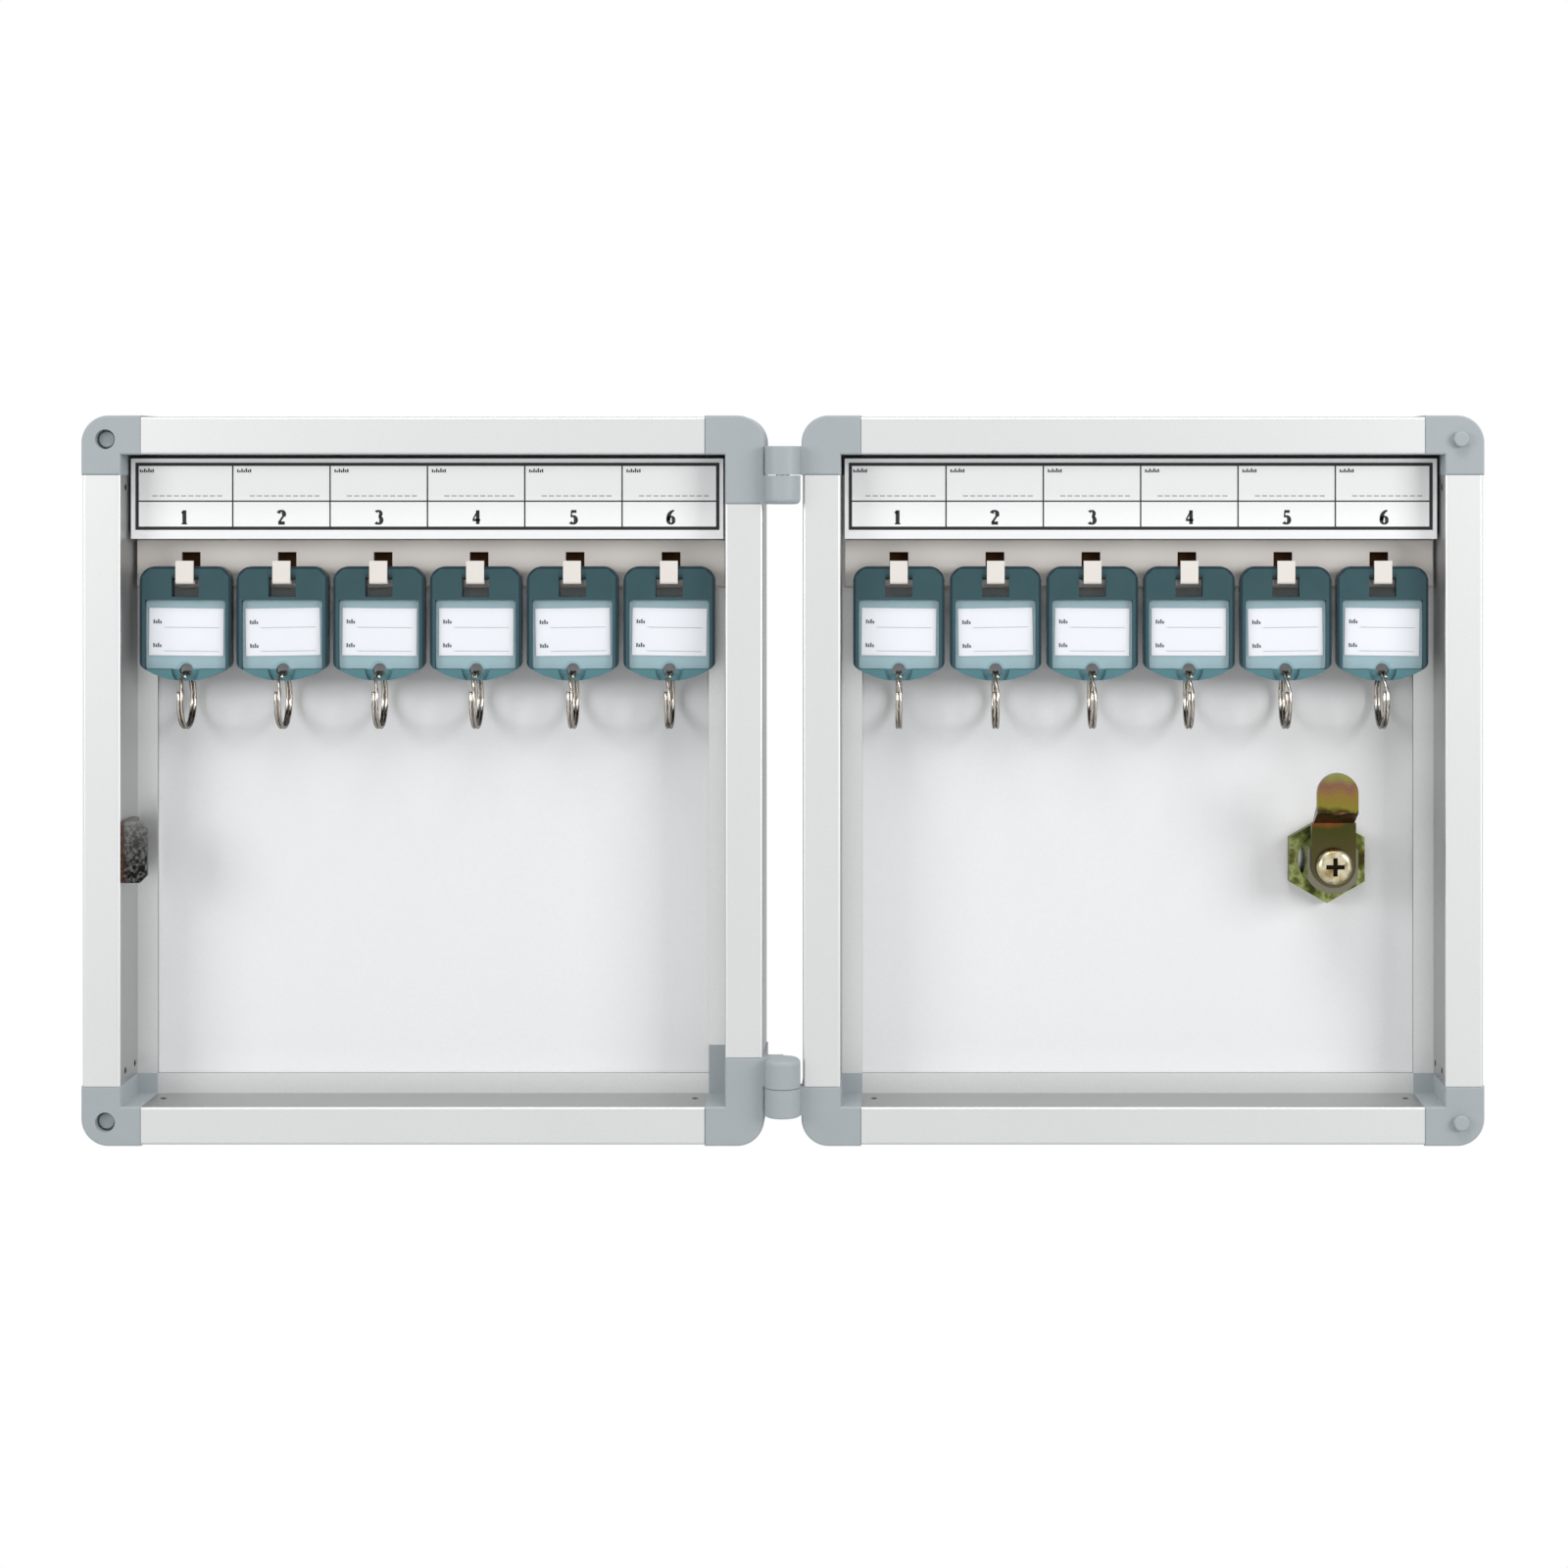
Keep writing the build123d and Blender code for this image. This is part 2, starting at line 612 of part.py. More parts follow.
def lock_barrel():
    """Threaded barrel with two flats, its round flange outside the door, bored for the plug."""
    solid = rod_y(0, 0, BARREL_R, BARREL_END, PANEL_BACK)
    for side in (-1, 1):
        outer = side * (BARREL_R + THROUGH)
        solid -= block(side * BARREL_FLAT, outer, BARREL_END, PANEL_BACK, -BARREL_R, BARREL_R)
    flange = rod_y(0, 0, LOCK_FLANGE_R, PANEL_BACK, LOCK_FACE)
    flange = fillet(flange.edges().group_by(Axis.Y)[-1], LOCK_FLANGE_ROUND)
    solid += flange
    solid -= rod_y(0, 0, PLUG_R + PLUG_CLEAR, 0, LOCK_FACE + THROUGH)
    head_floor = LOCK_FACE - PLUG_FACE_INSET - PLUG_HEAD_THICK - PLUG_CLEAR
    return solid - rod_y(0, 0, PLUG_HEAD_R + PLUG_CLEAR, head_floor, LOCK_FACE + THROUGH)


def lock_nut():
    hexagon = RegularPolygon(NUT_ACROSS_FLATS / 2, 6, major_radius=False, rotation=30)
    solid = plate_y(hexagon, PANEL_FRONT - NUT_THICK, PANEL_FRONT)
    return solid - rod_y(0, 0, BARREL_R + NUT_CLEAR, 0, TRAY_DEPTH)


def lock_plug():
    """The turning plug: head with the key slot, round body and a square end that drives the cam."""
    face = LOCK_FACE - PLUG_FACE_INSET
    solid = rod_y(0, 0, PLUG_R, CAM_BACK, face)
    solid += rod_y(0, 0, PLUG_HEAD_R, face - PLUG_HEAD_THICK, face)
    half = CAM_SQUARE / 2
    solid += block(-half, half, CAM_DEPTH + CAM_SCREW_CLEAR, CAM_BACK + THROUGH, -half, half)
    slot = KEYWAY_WIDTH / 2
    tall = KEYWAY_HEIGHT / 2
    solid -= block(-slot, slot, face - KEYWAY_DEPTH, face + THROUGH, -tall, tall)
    hole_end = CAM_DEPTH + CAM_SCREW_LENGTH - CAM_SCREW_HEAD + CAM_SCREW_CLEAR
    return solid - rod_y(0, 0, CAM_SCREW_R + CAM_SCREW_CLEAR, 0, hole_end)


def lock_cam():
    """The cranked cam, pointing up: its tip stands ahead of the door's front plane to pass the strike."""
    half = CAM_WIDTH / 2
    flat = plate_y(Rectangle(CAM_WIDTH, CAM_BEND_START, align=(Align.CENTER, Align.MIN)), CAM_DEPTH, CAM_BACK)
    flat += rod_y(0, 0, half, CAM_DEPTH, CAM_BACK)
    tip_half = CAM_TIP_WIDTH / 2
    tip_front = TIP_BACK - CAM_THICK
    nose_z = CAM_LENGTH - tip_half
    tip = block(-tip_half, tip_half, tip_front, TIP_BACK, CAM_BEND_END, nose_z)
    tip += rod_y(0, nose_z, tip_half, tip_front, TIP_BACK)
    profile = Polygon(
        (CAM_DEPTH, CAM_BEND_START - CAM_THICK),
        (CAM_DEPTH, CAM_BEND_START),
        (TIP_BACK - CAM_THICK, CAM_BEND_END),
        (TIP_BACK - CAM_THICK, CAM_BEND_END + CAM_THICK),
        (TIP_BACK, CAM_BEND_END + CAM_THICK),
        (CAM_BACK, CAM_BEND_START),
        (CAM_BACK, CAM_BEND_START - CAM_THICK),
        align=None,
    )
    riser = extrude(Plane.YZ * profile, amount=tip_half, both=True)
    solid = flat + riser + tip
    square = CAM_SQUARE / 2 + CAM_SQUARE_CLEAR
    return solid - block(-square, square, CAM_DEPTH - THROUGH, CAM_BACK + THROUGH, -square, square)


def lock_cam_screw():
    """Pan head screw with a cross recess that holds the cam on the plug."""
    front = CAM_DEPTH - CAM_SCREW_HEAD
    head = rod_y(0, 0, CAM_SCREW_HEAD_R, front, CAM_DEPTH)
    head = fillet(head.edges().group_by(Axis.Y)[0], CAM_SCREW_DOME)
    solid = head + rod_y(0, 0, CAM_SCREW_R, CAM_DEPTH, front + CAM_SCREW_LENGTH)
    slot = CROSS_WIDTH / 2
    span = CROSS_SPAN / 2
    solid -= block(-slot, slot, front - THROUGH, front + CROSS_DEPTH, -span, span)
    return solid - block(-span, span, front - THROUGH, front + CROSS_DEPTH, -slot, slot)


def strike_rivet_places():
    middle = -STRIKE_TOP - STRIKE_HEIGHT / 2
    deep = STRIKE_LIP_FRONT + STRIKE_THICK + (STRIKE_LEG - STRIKE_THICK) / 2
    return [(deep, middle - STRIKE_RIVET_PITCH / 2), (deep, middle + STRIKE_RIVET_PITCH / 2)]


def strike():
    """Angle plate on the fixed tray's free side wall; the cam turns in behind its lip."""
    wall = -INNER_HALF
    low = -STRIKE_TOP - STRIKE_HEIGHT
    front = STRIKE_LIP_FRONT
    lip = block(wall, wall + STRIKE_LIP, front, front + STRIKE_THICK, low, -STRIKE_TOP)
    free = lip.edges().filter_by(Axis.Y).group_by(Axis.X)[-1]
    lip = chamfer(free, STRIKE_CHAMFER)
    leg = block(wall, wall + STRIKE_THICK, front, front + STRIKE_LEG, low, -STRIKE_TOP)
    back = leg.edges().filter_by(Axis.X).group_by(Axis.Y)[-1]
    leg = fillet(back, STRIKE_CHAMFER)
    solid = lip + leg
    for y, z in strike_rivet_places():
        solid -= rod_x(y, z, RIVET_R + RIVET_CLEAR, wall - THROUGH, wall + STRIKE_THICK + THROUGH)
    return solid


def strike_rivets():
    rivets = []
    head_start = -INNER_HALF + STRIKE_THICK
    tail = -INNER_HALF - RAIL_WALL - RIVET_TAIL
    for y, z in strike_rivet_places():
        head = rod_x(y, z, STRIKE_RIVET_HEAD_R, head_start, head_start + STRIKE_RIVET_HEAD)
        head = fillet(head.edges().group_by(Axis.X)[-1], STRIKE_RIVET_ROUND)
        rivets.append(head + rod_x(y, z, RIVET_R, tail, head_start))
    return rivets


def body_left_rail():
    """The free side rail, drilled for the strike's rivets."""
    side = upright(CORNER_LEG, TRAY_HEIGHT - CORNER_LEG, right=False)
    behind_wall = -INNER_HALF - RAIL_WALL - THROUGH
    for y, z in strike_rivet_places():
        side -= rod_x(y, z, RIVET_R + RIVET_CLEAR, behind_wall, -INNER_HALF + THROUGH)
    return side


def cut_all(solid, cutters):
    for cutter in cutters:
        solid -= cutter
    return solid


def tray_nodes(prefix, rails, corners, leg_left, leg_right):
    """Frame pieces of one tray, drilled for the corner screws."""
    cutters = screw_cutters(leg_left, leg_right)
    nodes = {name: [cut_all(solid, cutters)] for name, solid in {**rails, **corners}.items()}
    nodes[f"{prefix}_corner_screws"] = corner_screws(leg_left, leg_right)
    nodes[f"{prefix}_label_holder"] = [label_holder()]
    nodes[f"{prefix}_label_card"] = [label_card()]
    nodes[f"{prefix}_hook_rail"] = [hook_rail()]
    return nodes


def body_nodes():
    across = (-HALF_WIDTH + CORNER_LEG, HALF_WIDTH - CORNER_LEG)
    rails = {
        "body_rail_top": body_top_rail(),
        "body_rail_bottom": flipped(rail(*across)),
        "body_rail_left": body_left_rail(),
        "body_rail_right": upright(HINGE_LEG, TRAY_HEIGHT - HINGE_LEG, right=True),
    }
    nodes = tray_nodes("body", rails, body_corners(), CORNER_LEG, HINGE_LEG)
    plates, rivets = hangers()
    nodes["body_panel"] = [panel()]
    nodes["hanger_plates"] = plates
    nodes["hanger_rivets"] = rivets
    nodes["hinge_pins"] = hinge_pins()
    nodes["strike"] = [strike()]
    nodes["strike_rivets"] = strike_rivets()
    return nodes


def door_nodes():
    across = (-HALF_WIDTH + CORNER_LEG, HALF_WIDTH - CORNER_LEG)
    down = (CORNER_LEG, TRAY_HEIGHT - CORNER_LEG)
    rails = {
        "door_rail_top": rail(*across),
        "door_rail_bottom": flipped(rail(*across)),
        "door_rail_left": upright(*down, right=False),
        "door_rail_right": upright(*down, right=True),
    }
    nodes = tray_nodes("door", rails, door_corners(), CORNER_LEG, CORNER_LEG)
    nodes["door_panel"] = [door_panel()]
    nodes["lock_barrel"] = [lock_at(lock_barrel())]
    nodes["lock_nut"] = [lock_at(lock_nut())]
    nodes["lock_plug"] = [lock_at(lock_plug())]
    nodes["lock_cam"] = [lock_at(lock_cam())]
    nodes["lock_cam_screw"] = [lock_at(lock_cam_screw())]
    return nodes


def write(name, place, solids):
    placed = [place * solid for solid in solids]
    shape = placed[0] if len(placed) == 1 else Compound(children=placed)
    export_step(shape, f"parts/{name}.step")


def least_ring_gap():
    """Least space between the ring's two turns, measured on points of its centre line."""
    worst = RING_PITCH
    for step in range(0, 360, 5):
        if RING_CROSS_ANGLE < step < 360 - RING_CROSS_ANGLE:
            near = Vector(*ring_point(step, -RING_PITCH / 2))
            far = Vector(*ring_point(step, RING_PITCH / 2))
            worst = min(worst, (near - far).length)
    return worst - 2 * RING_WIRE_R


def main():
    os.makedirs("parts", exist_ok=True)
    for name, solids in body_nodes().items():
        write(name, BODY_AT, solids)
    for name, solids in door_nodes().items():
        write(name, DOOR_AT, solids)
    for prefix, place in (("body", BODY_AT), ("door", DOOR_AT)):
        for name, solids in tags_and_rings(prefix, place).items():
            write(name, Pos(0, 0, 0), solids)
    print("least gap between the turns of a split ring:", round(least_ring_gap(), 2), "mm")


main()
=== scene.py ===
"""Finishes of a wall key box: two hinged trays with hooks, label strips, key tags and a cam lock."""
import json
from math import cos, pi, radians, sin

import bmesh
import bpy
from bpy.props import FloatProperty, FloatVectorProperty, PointerProperty
from mathutils import Color, Matrix, Vector


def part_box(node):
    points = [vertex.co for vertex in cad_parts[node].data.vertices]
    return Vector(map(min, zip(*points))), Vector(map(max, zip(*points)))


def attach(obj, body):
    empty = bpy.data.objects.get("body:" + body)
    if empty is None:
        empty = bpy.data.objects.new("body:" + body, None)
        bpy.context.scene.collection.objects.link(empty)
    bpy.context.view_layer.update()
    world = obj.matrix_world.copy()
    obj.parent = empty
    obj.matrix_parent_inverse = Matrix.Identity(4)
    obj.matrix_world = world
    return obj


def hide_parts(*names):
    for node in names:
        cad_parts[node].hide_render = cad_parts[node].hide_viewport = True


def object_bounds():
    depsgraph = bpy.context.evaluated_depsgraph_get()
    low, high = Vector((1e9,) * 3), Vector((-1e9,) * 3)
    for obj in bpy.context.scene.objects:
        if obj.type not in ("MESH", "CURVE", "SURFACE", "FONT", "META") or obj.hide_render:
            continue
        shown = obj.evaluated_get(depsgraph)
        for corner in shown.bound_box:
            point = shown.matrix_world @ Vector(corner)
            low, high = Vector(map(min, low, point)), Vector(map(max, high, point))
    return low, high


bl_info = {
    "name": "Wall key box",
    "version": (1, 0, 0),
    "blender": (4, 5, 0),
    "location": "3D View > Sidebar > Key box",
    "description": "Dresses the trays, tags, rings and lock of a wall key box",
    "category": "Object",
}

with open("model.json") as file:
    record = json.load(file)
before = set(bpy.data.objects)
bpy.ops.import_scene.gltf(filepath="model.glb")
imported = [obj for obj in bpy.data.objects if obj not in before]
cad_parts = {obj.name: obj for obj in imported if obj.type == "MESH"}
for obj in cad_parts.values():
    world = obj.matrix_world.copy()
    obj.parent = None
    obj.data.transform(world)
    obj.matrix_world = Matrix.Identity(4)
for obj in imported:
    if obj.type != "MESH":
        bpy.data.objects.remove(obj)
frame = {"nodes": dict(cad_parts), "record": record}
CAD_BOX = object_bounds()

# The object's own units are millimetres, and Blender's are metres
MM = 0.001
TRAYS = ("body", "door")
# Left between two pieces that would otherwise share a face, in millimetres
CLEARANCE = 0.03
HOOKS = sum(1 for name in frame["nodes"] if name.startswith("body_tag_"))


def shade(red, green, blue):
    """A display colour from 0 to 255 as a property default."""
    return (red / 255, green / 255, blue / 255)


def length_property(name, description, millimetres):
    return FloatProperty(name=name, description=description, default=millimetres * MM, unit="LENGTH")


def power_property(name, description, watts):
    return FloatProperty(name=name, description=description, default=watts, unit="POWER")


def colour_property(name, description, colour):
    return FloatVectorProperty(
        name=name, description=description, default=colour, size=3, min=0, max=1, subtype="COLOR_GAMMA"
    )


class KeyBoxSizes(bpy.types.PropertyGroup):
    """Sizes of what is printed, lined or softened on the box."""

    border_line: length_property("Border line", "Width of the label strip's black border", 1.0)
    cell_line: length_property("Cell line", "Width of the lines between cells", 0.42)
    numeral: length_property("Numeral", "Height of the hook numbers", 4.1)
    number_row: length_property("Number row", "Height of the row that holds the numbers", 7.3)
    ink: length_property("Ink", "Thickness of a printed mark", 0.03)
    tag_edge: length_property("Tag edge", "Rounding of the tag's moulded edges", 0.42)
    # The rim round the tag's plate is painted shade
    tag_rim: length_property("Tag rim", "Width of the dark rim round the tag's plate", 0.75)
    # The dark brown strip behind each hook rail is painted shade, where the rail's windows show through
    tape: length_property("Tape", "Depth of the foam tape on the panel, behind the hook rail", 2.8)
    # The black strip over each label holder is painted shade in the gap between the top rail and the holder
    felt: length_property("Felt", "Depth of the felt strip over the label holder", 2.0)
    felt_rise: length_property("Felt rise", "Height of the felt strip over the label holder", 0.75)
    wire_width: length_property("Ring wire width", "Size of the ring's wire along the ring's axis", 0.95)
    wire_depth: length_property("Ring wire depth", "Size of the ring's wire across the ring", 1.0)
    turn_pitch: length_property("Ring pitch", "From one turn of a split ring to the next", 1.0)


class KeyBoxColours(bpy.types.PropertyGroup):
    """Colours of the box, as the screen shows them."""

    rail: colour_property("Rails", "Satin anodised aluminium", shade(205, 206, 206))
    panel: colour_property("Panels", "Matt white board", shade(237, 238, 239))
    corner: colour_property("Corners", "Grey moulded corner blocks", shade(163, 171, 175))
    holder: colour_property("Label holders", "Pale strip that holds the label", shade(240, 241, 242))
    card: colour_property("Label card", "White printed card", shade(247, 248, 248))
    ink: colour_property("Ink", "Black print", shade(26, 27, 30))
    pale_ink: colour_property("Pale ink", "Grey print", shade(150, 152, 156))
    hook_rail: colour_property("Hook rails", "Cream painted steel", shade(228, 222, 216))
    # Colour of the painted shade in the gap over the label holders
    felt: colour_property("Felt", "Black felt over the label holders", shade(32, 33, 35))
    # Colour of the painted shade behind the hook rails' windows
    tape: colour_property("Tape", "Brown foam tape", shade(74, 44, 25))
    tag: colour_property("Tags", "Teal translucent plastic", shade(44, 75, 81))
    # The tags' plastic in painted shade, for their moulded edges, sides and the rim round the plate
    tag_edge: colour_property("Tag edges", "The same plastic seen edge on", shade(14, 40, 48))
    tag_side: colour_property("Tag sides", "The same plastic beside the pocket", shade(48, 80, 89))
    tag_floor: colour_property("Tag pocket", "The same plastic where it is thin", shade(146, 180, 190))
    tag_foot: colour_property("Tag foot", "The same plastic round the ring hole", shade(78, 122, 130))
    tag_cover: colour_property("Tag cover", "Clear cover", shade(222, 236, 240))
    paper: colour_property("Tag paper", "White insert", shade(250, 249, 254))
    nickel: colour_property("Rings", "Nickel plated wire", shade(200, 194, 184))
    chrome: colour_property("Lock face", "Chrome plate", shade(206, 207, 206))
    casting: colour_property("Lock barrel", "Dull zinc casting inside the door", shade(122, 118, 104))
    strike: colour_property("Strike", "Dark blued steel", shade(58, 60, 57))
    steel: colour_property("Fixings", "Plain bright steel", shade(188, 189, 188))


class KeyBoxStudio(bpy.types.PropertyGroup):
    """Camera and light of the studio."""

    lens: FloatProperty(name="Lens", description="Focal length of the camera", default=66.9, unit="CAMERA")
    distance: length_property("Distance", "From the camera to the front of the box", 853.0)
    side_lamp: power_property("Side lamps", "Power of the right soft lamp, in part that of the left", 7.0)
    top_lamp: power_property("Top lamp", "Power of the overhead lamp", 4.8)
    ambient: FloatProperty(name="Ambient", description="Strength of the light from all round", default=0.4)


def sizes():
    return bpy.context.scene.key_box_sizes


def colours():
    return bpy.context.scene.key_box_colours


def studio():
    return bpy.context.scene.key_box_studio


def linear(colour):
    """A display colour as the scene-linear colour, with alpha, that a socket takes."""
    return (*Color(colour[:3]).from_srgb_to_scene_linear(), 1.0)


def dress(node, material):
    """Give a CAD node its finish."""
    mesh = frame["nodes"][node].data
    mesh.materials.clear()
    mesh.materials.append(material)


def box_mm(node):
    """A node's lowest and highest corners in millimetres."""
    low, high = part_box(node)
    return low / MM, high / MM


def new_piece(bm, name, body, materials):
    """A finished piece from a bmesh drawn in millimetres in the shared frame, riding on a body."""
    bmesh.ops.scale(bm, vec=(MM, MM, MM), verts=bm.verts)
    mesh = bpy.data.meshes.new(name)
    bm.to_mesh(mesh)
    bm.free()
    for material in materials:
        mesh.materials.append(material)
    piece = bpy.data.objects.new(name, mesh)
    bpy.context.scene.collection.objects.link(piece)
    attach(piece, body)
    return piece


def add_bar(bm, x, y, z):
    """A rectangular bar between two values on each axis."""
    made = bmesh.ops.create_cube(bm, size=1.0)["verts"]
    bmesh.ops.scale(bm, vec=(x[1] - x[0], y[1] - y[0], z[1] - z[0]), verts=made)
    bmesh.ops.translate(bm, vec=((x[0] + x[1]) / 2, (y[0] + y[1]) / 2, (z[0] + z[1]) / 2), verts=made)


def noise(tree, place, scale, detail=3.0, roughness=0.6):
    """A noise texture read at a place given in Object coordinates."""
    texture = tree.nodes.new("ShaderNodeTexNoise")
    texture.inputs["Scale"].default_value = scale
    texture.inputs["Detail"].default_value = detail
    texture.inputs["Roughness"].default_value = roughness
    tree.links.new(place, texture.inputs["Vector"])
    return texture.outputs["Fac"]


def maths(tree, operation, first, second):
    """A maths node; either value is a socket or a number."""
    node = tree.nodes.new("ShaderNodeMath")
    node.operation = operation
    for socket, value in zip(node.inputs, (first, second)):
        if isinstance(value, bpy.types.NodeSocket):
            tree.links.new(value, socket)
        else:
            socket.default_value = value
    return node.outputs["Value"]


def mix_colours(tree, share, first, second):
    """A colour between two others; each is a socket or a linear colour."""
    node = tree.nodes.new("ShaderNodeMix")
    node.data_type = "RGBA"
    for name, value in (("Factor", share), ("A", first), ("B", second)):
        socket = next(item for item in node.inputs if item.name == name and item.enabled)
        if isinstance(value, bpy.types.NodeSocket):
            tree.links.new(value, socket)
        else:
            socket.default_value = value
    return next(item for item in node.outputs if item.enabled)


def stretched(tree, value, low, high):
    """A value mapped so that low becomes 0 and high becomes 1."""
    node = tree.nodes.new("ShaderNodeMapRange")
    tree.links.new(value, node.inputs["Value"])
    node.inputs["From Min"].default_value = low
    node.inputs["From Max"].default_value = high
    return node.outputs["Result"]


def axes(tree, vector):
    """The X, Y and Z of a vector socket."""
    node = tree.nodes.new("ShaderNodeSeparateXYZ")
    tree.links.new(vector, node.inputs["Vector"])
    return node.outputs


def tone_ramp(tree, value, tones):
    """Colours along a value from 0 to 1."""
    ramp = tree.nodes.new("ShaderNodeValToRGB")
    tree.links.new(value, ramp.inputs["Fac"])
    stops = ramp.color_ramp.elements
    while len(stops) < len(tones):
        stops.new(0.5)
    for stop, (position, colour) in zip(stops, tones):
        stop.position = position
        stop.color = linear(colour)
    return ramp.outputs["Color"]


def facing_away(tree, blend):
    """0 where a surface faces the camera, 1 where it is seen edge on."""
    weight = tree.nodes.new("ShaderNodeLayerWeight")
    weight.inputs["Blend"].default_value = blend
    return weight.outputs["Facing"]


def surface_group():
    """Fine grain and slow patches of tone that every finish of the box is made from."""
    name = "Grain and patches"
    if name in bpy.data.node_groups:
        return bpy.data.node_groups[name]
    tree = bpy.data.node_groups.new(name, "ShaderNodeTree")
    for kind, names in (
        ("NodeSocketVector", ("Place",)),
        ("NodeSocketColor", ("Colour", "Grain Colour", "Patch Colour")),
        ("NodeSocketFloat", ("Grain Scale", "Patch Scale", "Grain Share", "Patch Share")),
        ("NodeSocketFloat", ("Roughness", "Roughness Spread")),
    ):
        for socket_name in names:
            tree.interface.new_socket(socket_name, in_out="INPUT", socket_type=kind)
    for socket_name, kind in (("Colour", "NodeSocketColor"), ("Roughness", "NodeSocketFloat"),
                              ("Height", "NodeSocketFloat")):
        tree.interface.new_socket(socket_name, in_out="OUTPUT", socket_type=kind)
    given = tree.nodes.new("NodeGroupInput").outputs
    grain = noise(tree, given["Place"], 1.0)
    tree.links.new(given["Grain Scale"], grain.node.inputs["Scale"])
    patches = noise(tree, given["Place"], 1.0, detail=2.0)
    tree.links.new(given["Patch Scale"], patches.node.inputs["Scale"])
    grain_share = maths(tree, "MULTIPLY", grain, given["Grain Share"])
    patch_share = maths(tree, "MULTIPLY", patches, given["Patch Share"])
    grained = mix_colours(tree, grain_share, given["Colour"], given["Grain Colour"])
    toned = mix_colours(tree, patch_share, grained, given["Patch Colour"])
    away = maths(tree, "SUBTRACT", patches, 0.5)
    spread = maths(tree, "MULTIPLY", away, given["Roughness Spread"])
    result = tree.nodes.new("NodeGroupOutput").inputs
    tree.links.new(toned, result["Colour"])
    tree.links.new(maths(tree, "ADD", given["Roughness"], spread), result["Roughness"])
    tree.links.new(grain, result["Height"])
    return tree


def principled(material):
    """A material's Principled shader."""
    return next(node for node in material.node_tree.nodes if node.type == "BSDF_PRINCIPLED")


def new_material(name):
    """A material with nothing but a Principled shader, its node tree and that shader."""
    material = bpy.data.materials.new(name)
    material.use_nodes = True
    return material, material.node_tree, principled(material)


def overlay(material, share, colour):
    """Mix a display colour over the colour that a material already has, by a share from its own nodes."""
    tree, shader = material.node_tree, principled(material)
    under = shader.inputs["Base Color"].links[0].from_socket
    tree.links.new(mix_colours(tree, share, under, linear(colour)), shader.inputs["Base Color"])


def object_place(tree):
    return tree.nodes.new("ShaderNodeTexCoord").outputs["Object"]


def add_bump(tree, shader, height, strength, depth_mm):
    """Raise the shader's normal by a height, up to a depth in millimetres."""
    bump = tree.nodes.new("ShaderNodeBump")
    bump.inputs["Strength"].default_value = strength
    bump.inputs["Distance"].default_value = depth_mm * MM
    tree.links.new(height, bump.inputs["Height"])
    tree.links.new(bump.outputs["Normal"], shader.inputs["Normal"])


def finish(name, colour, tones, spans, shares, roughness, bump, constants):
    """A finish from the shared grain. Grain and patches have, in this order, a tone (how much lighter, or
    darker below 0), a span in millimetres and a share of the surface. Roughness comes with its spread,
    and the bump's strength with its depth in millimetres. The constants are the shader's own."""
    material, tree, shader = new_material(name)
    group = tree.nodes.new("ShaderNodeGroup")
    group.node_tree = surface_group()
    tree.links.new(object_place(tree), group.inputs["Place"])
    for socket, value in (
        ("Colour", linear(colour)),
        ("Grain Colour", linear(lighter(colour, tones[0]))),
        ("Patch Colour", linear(lighter(colour, tones[1]))),
        ("Grain Scale", 1 / (spans[0] * MM)),
        ("Patch Scale", 1 / (spans[1] * MM)),
        ("Grain Share", shares[0]),
        ("Patch Share", shares[1]),
        ("Roughness", roughness[0]),
        ("Roughness Spread", roughness[1]),
    ):
        group.inputs[socket].default_value = value
    tree.links.new(group.outputs["Colour"], shader.inputs["Base Color"])
    tree.links.new(group.outputs["Roughness"], shader.inputs["Roughness"])
    add_bump(tree, shader, group.outputs["Height"], *bump)
    for socket, value in constants.items():
        shader.inputs[socket].default_value = value
    return material


def darker(colour, share):
    return tuple(part * (1 - share) for part in colour)


def lighter(colour, share):
    """A colour lighter by a share, or darker where the share is below 0."""
    return darker(colour, -share) if share < 0 else tuple(part + (1 - part) * share for part in colour)


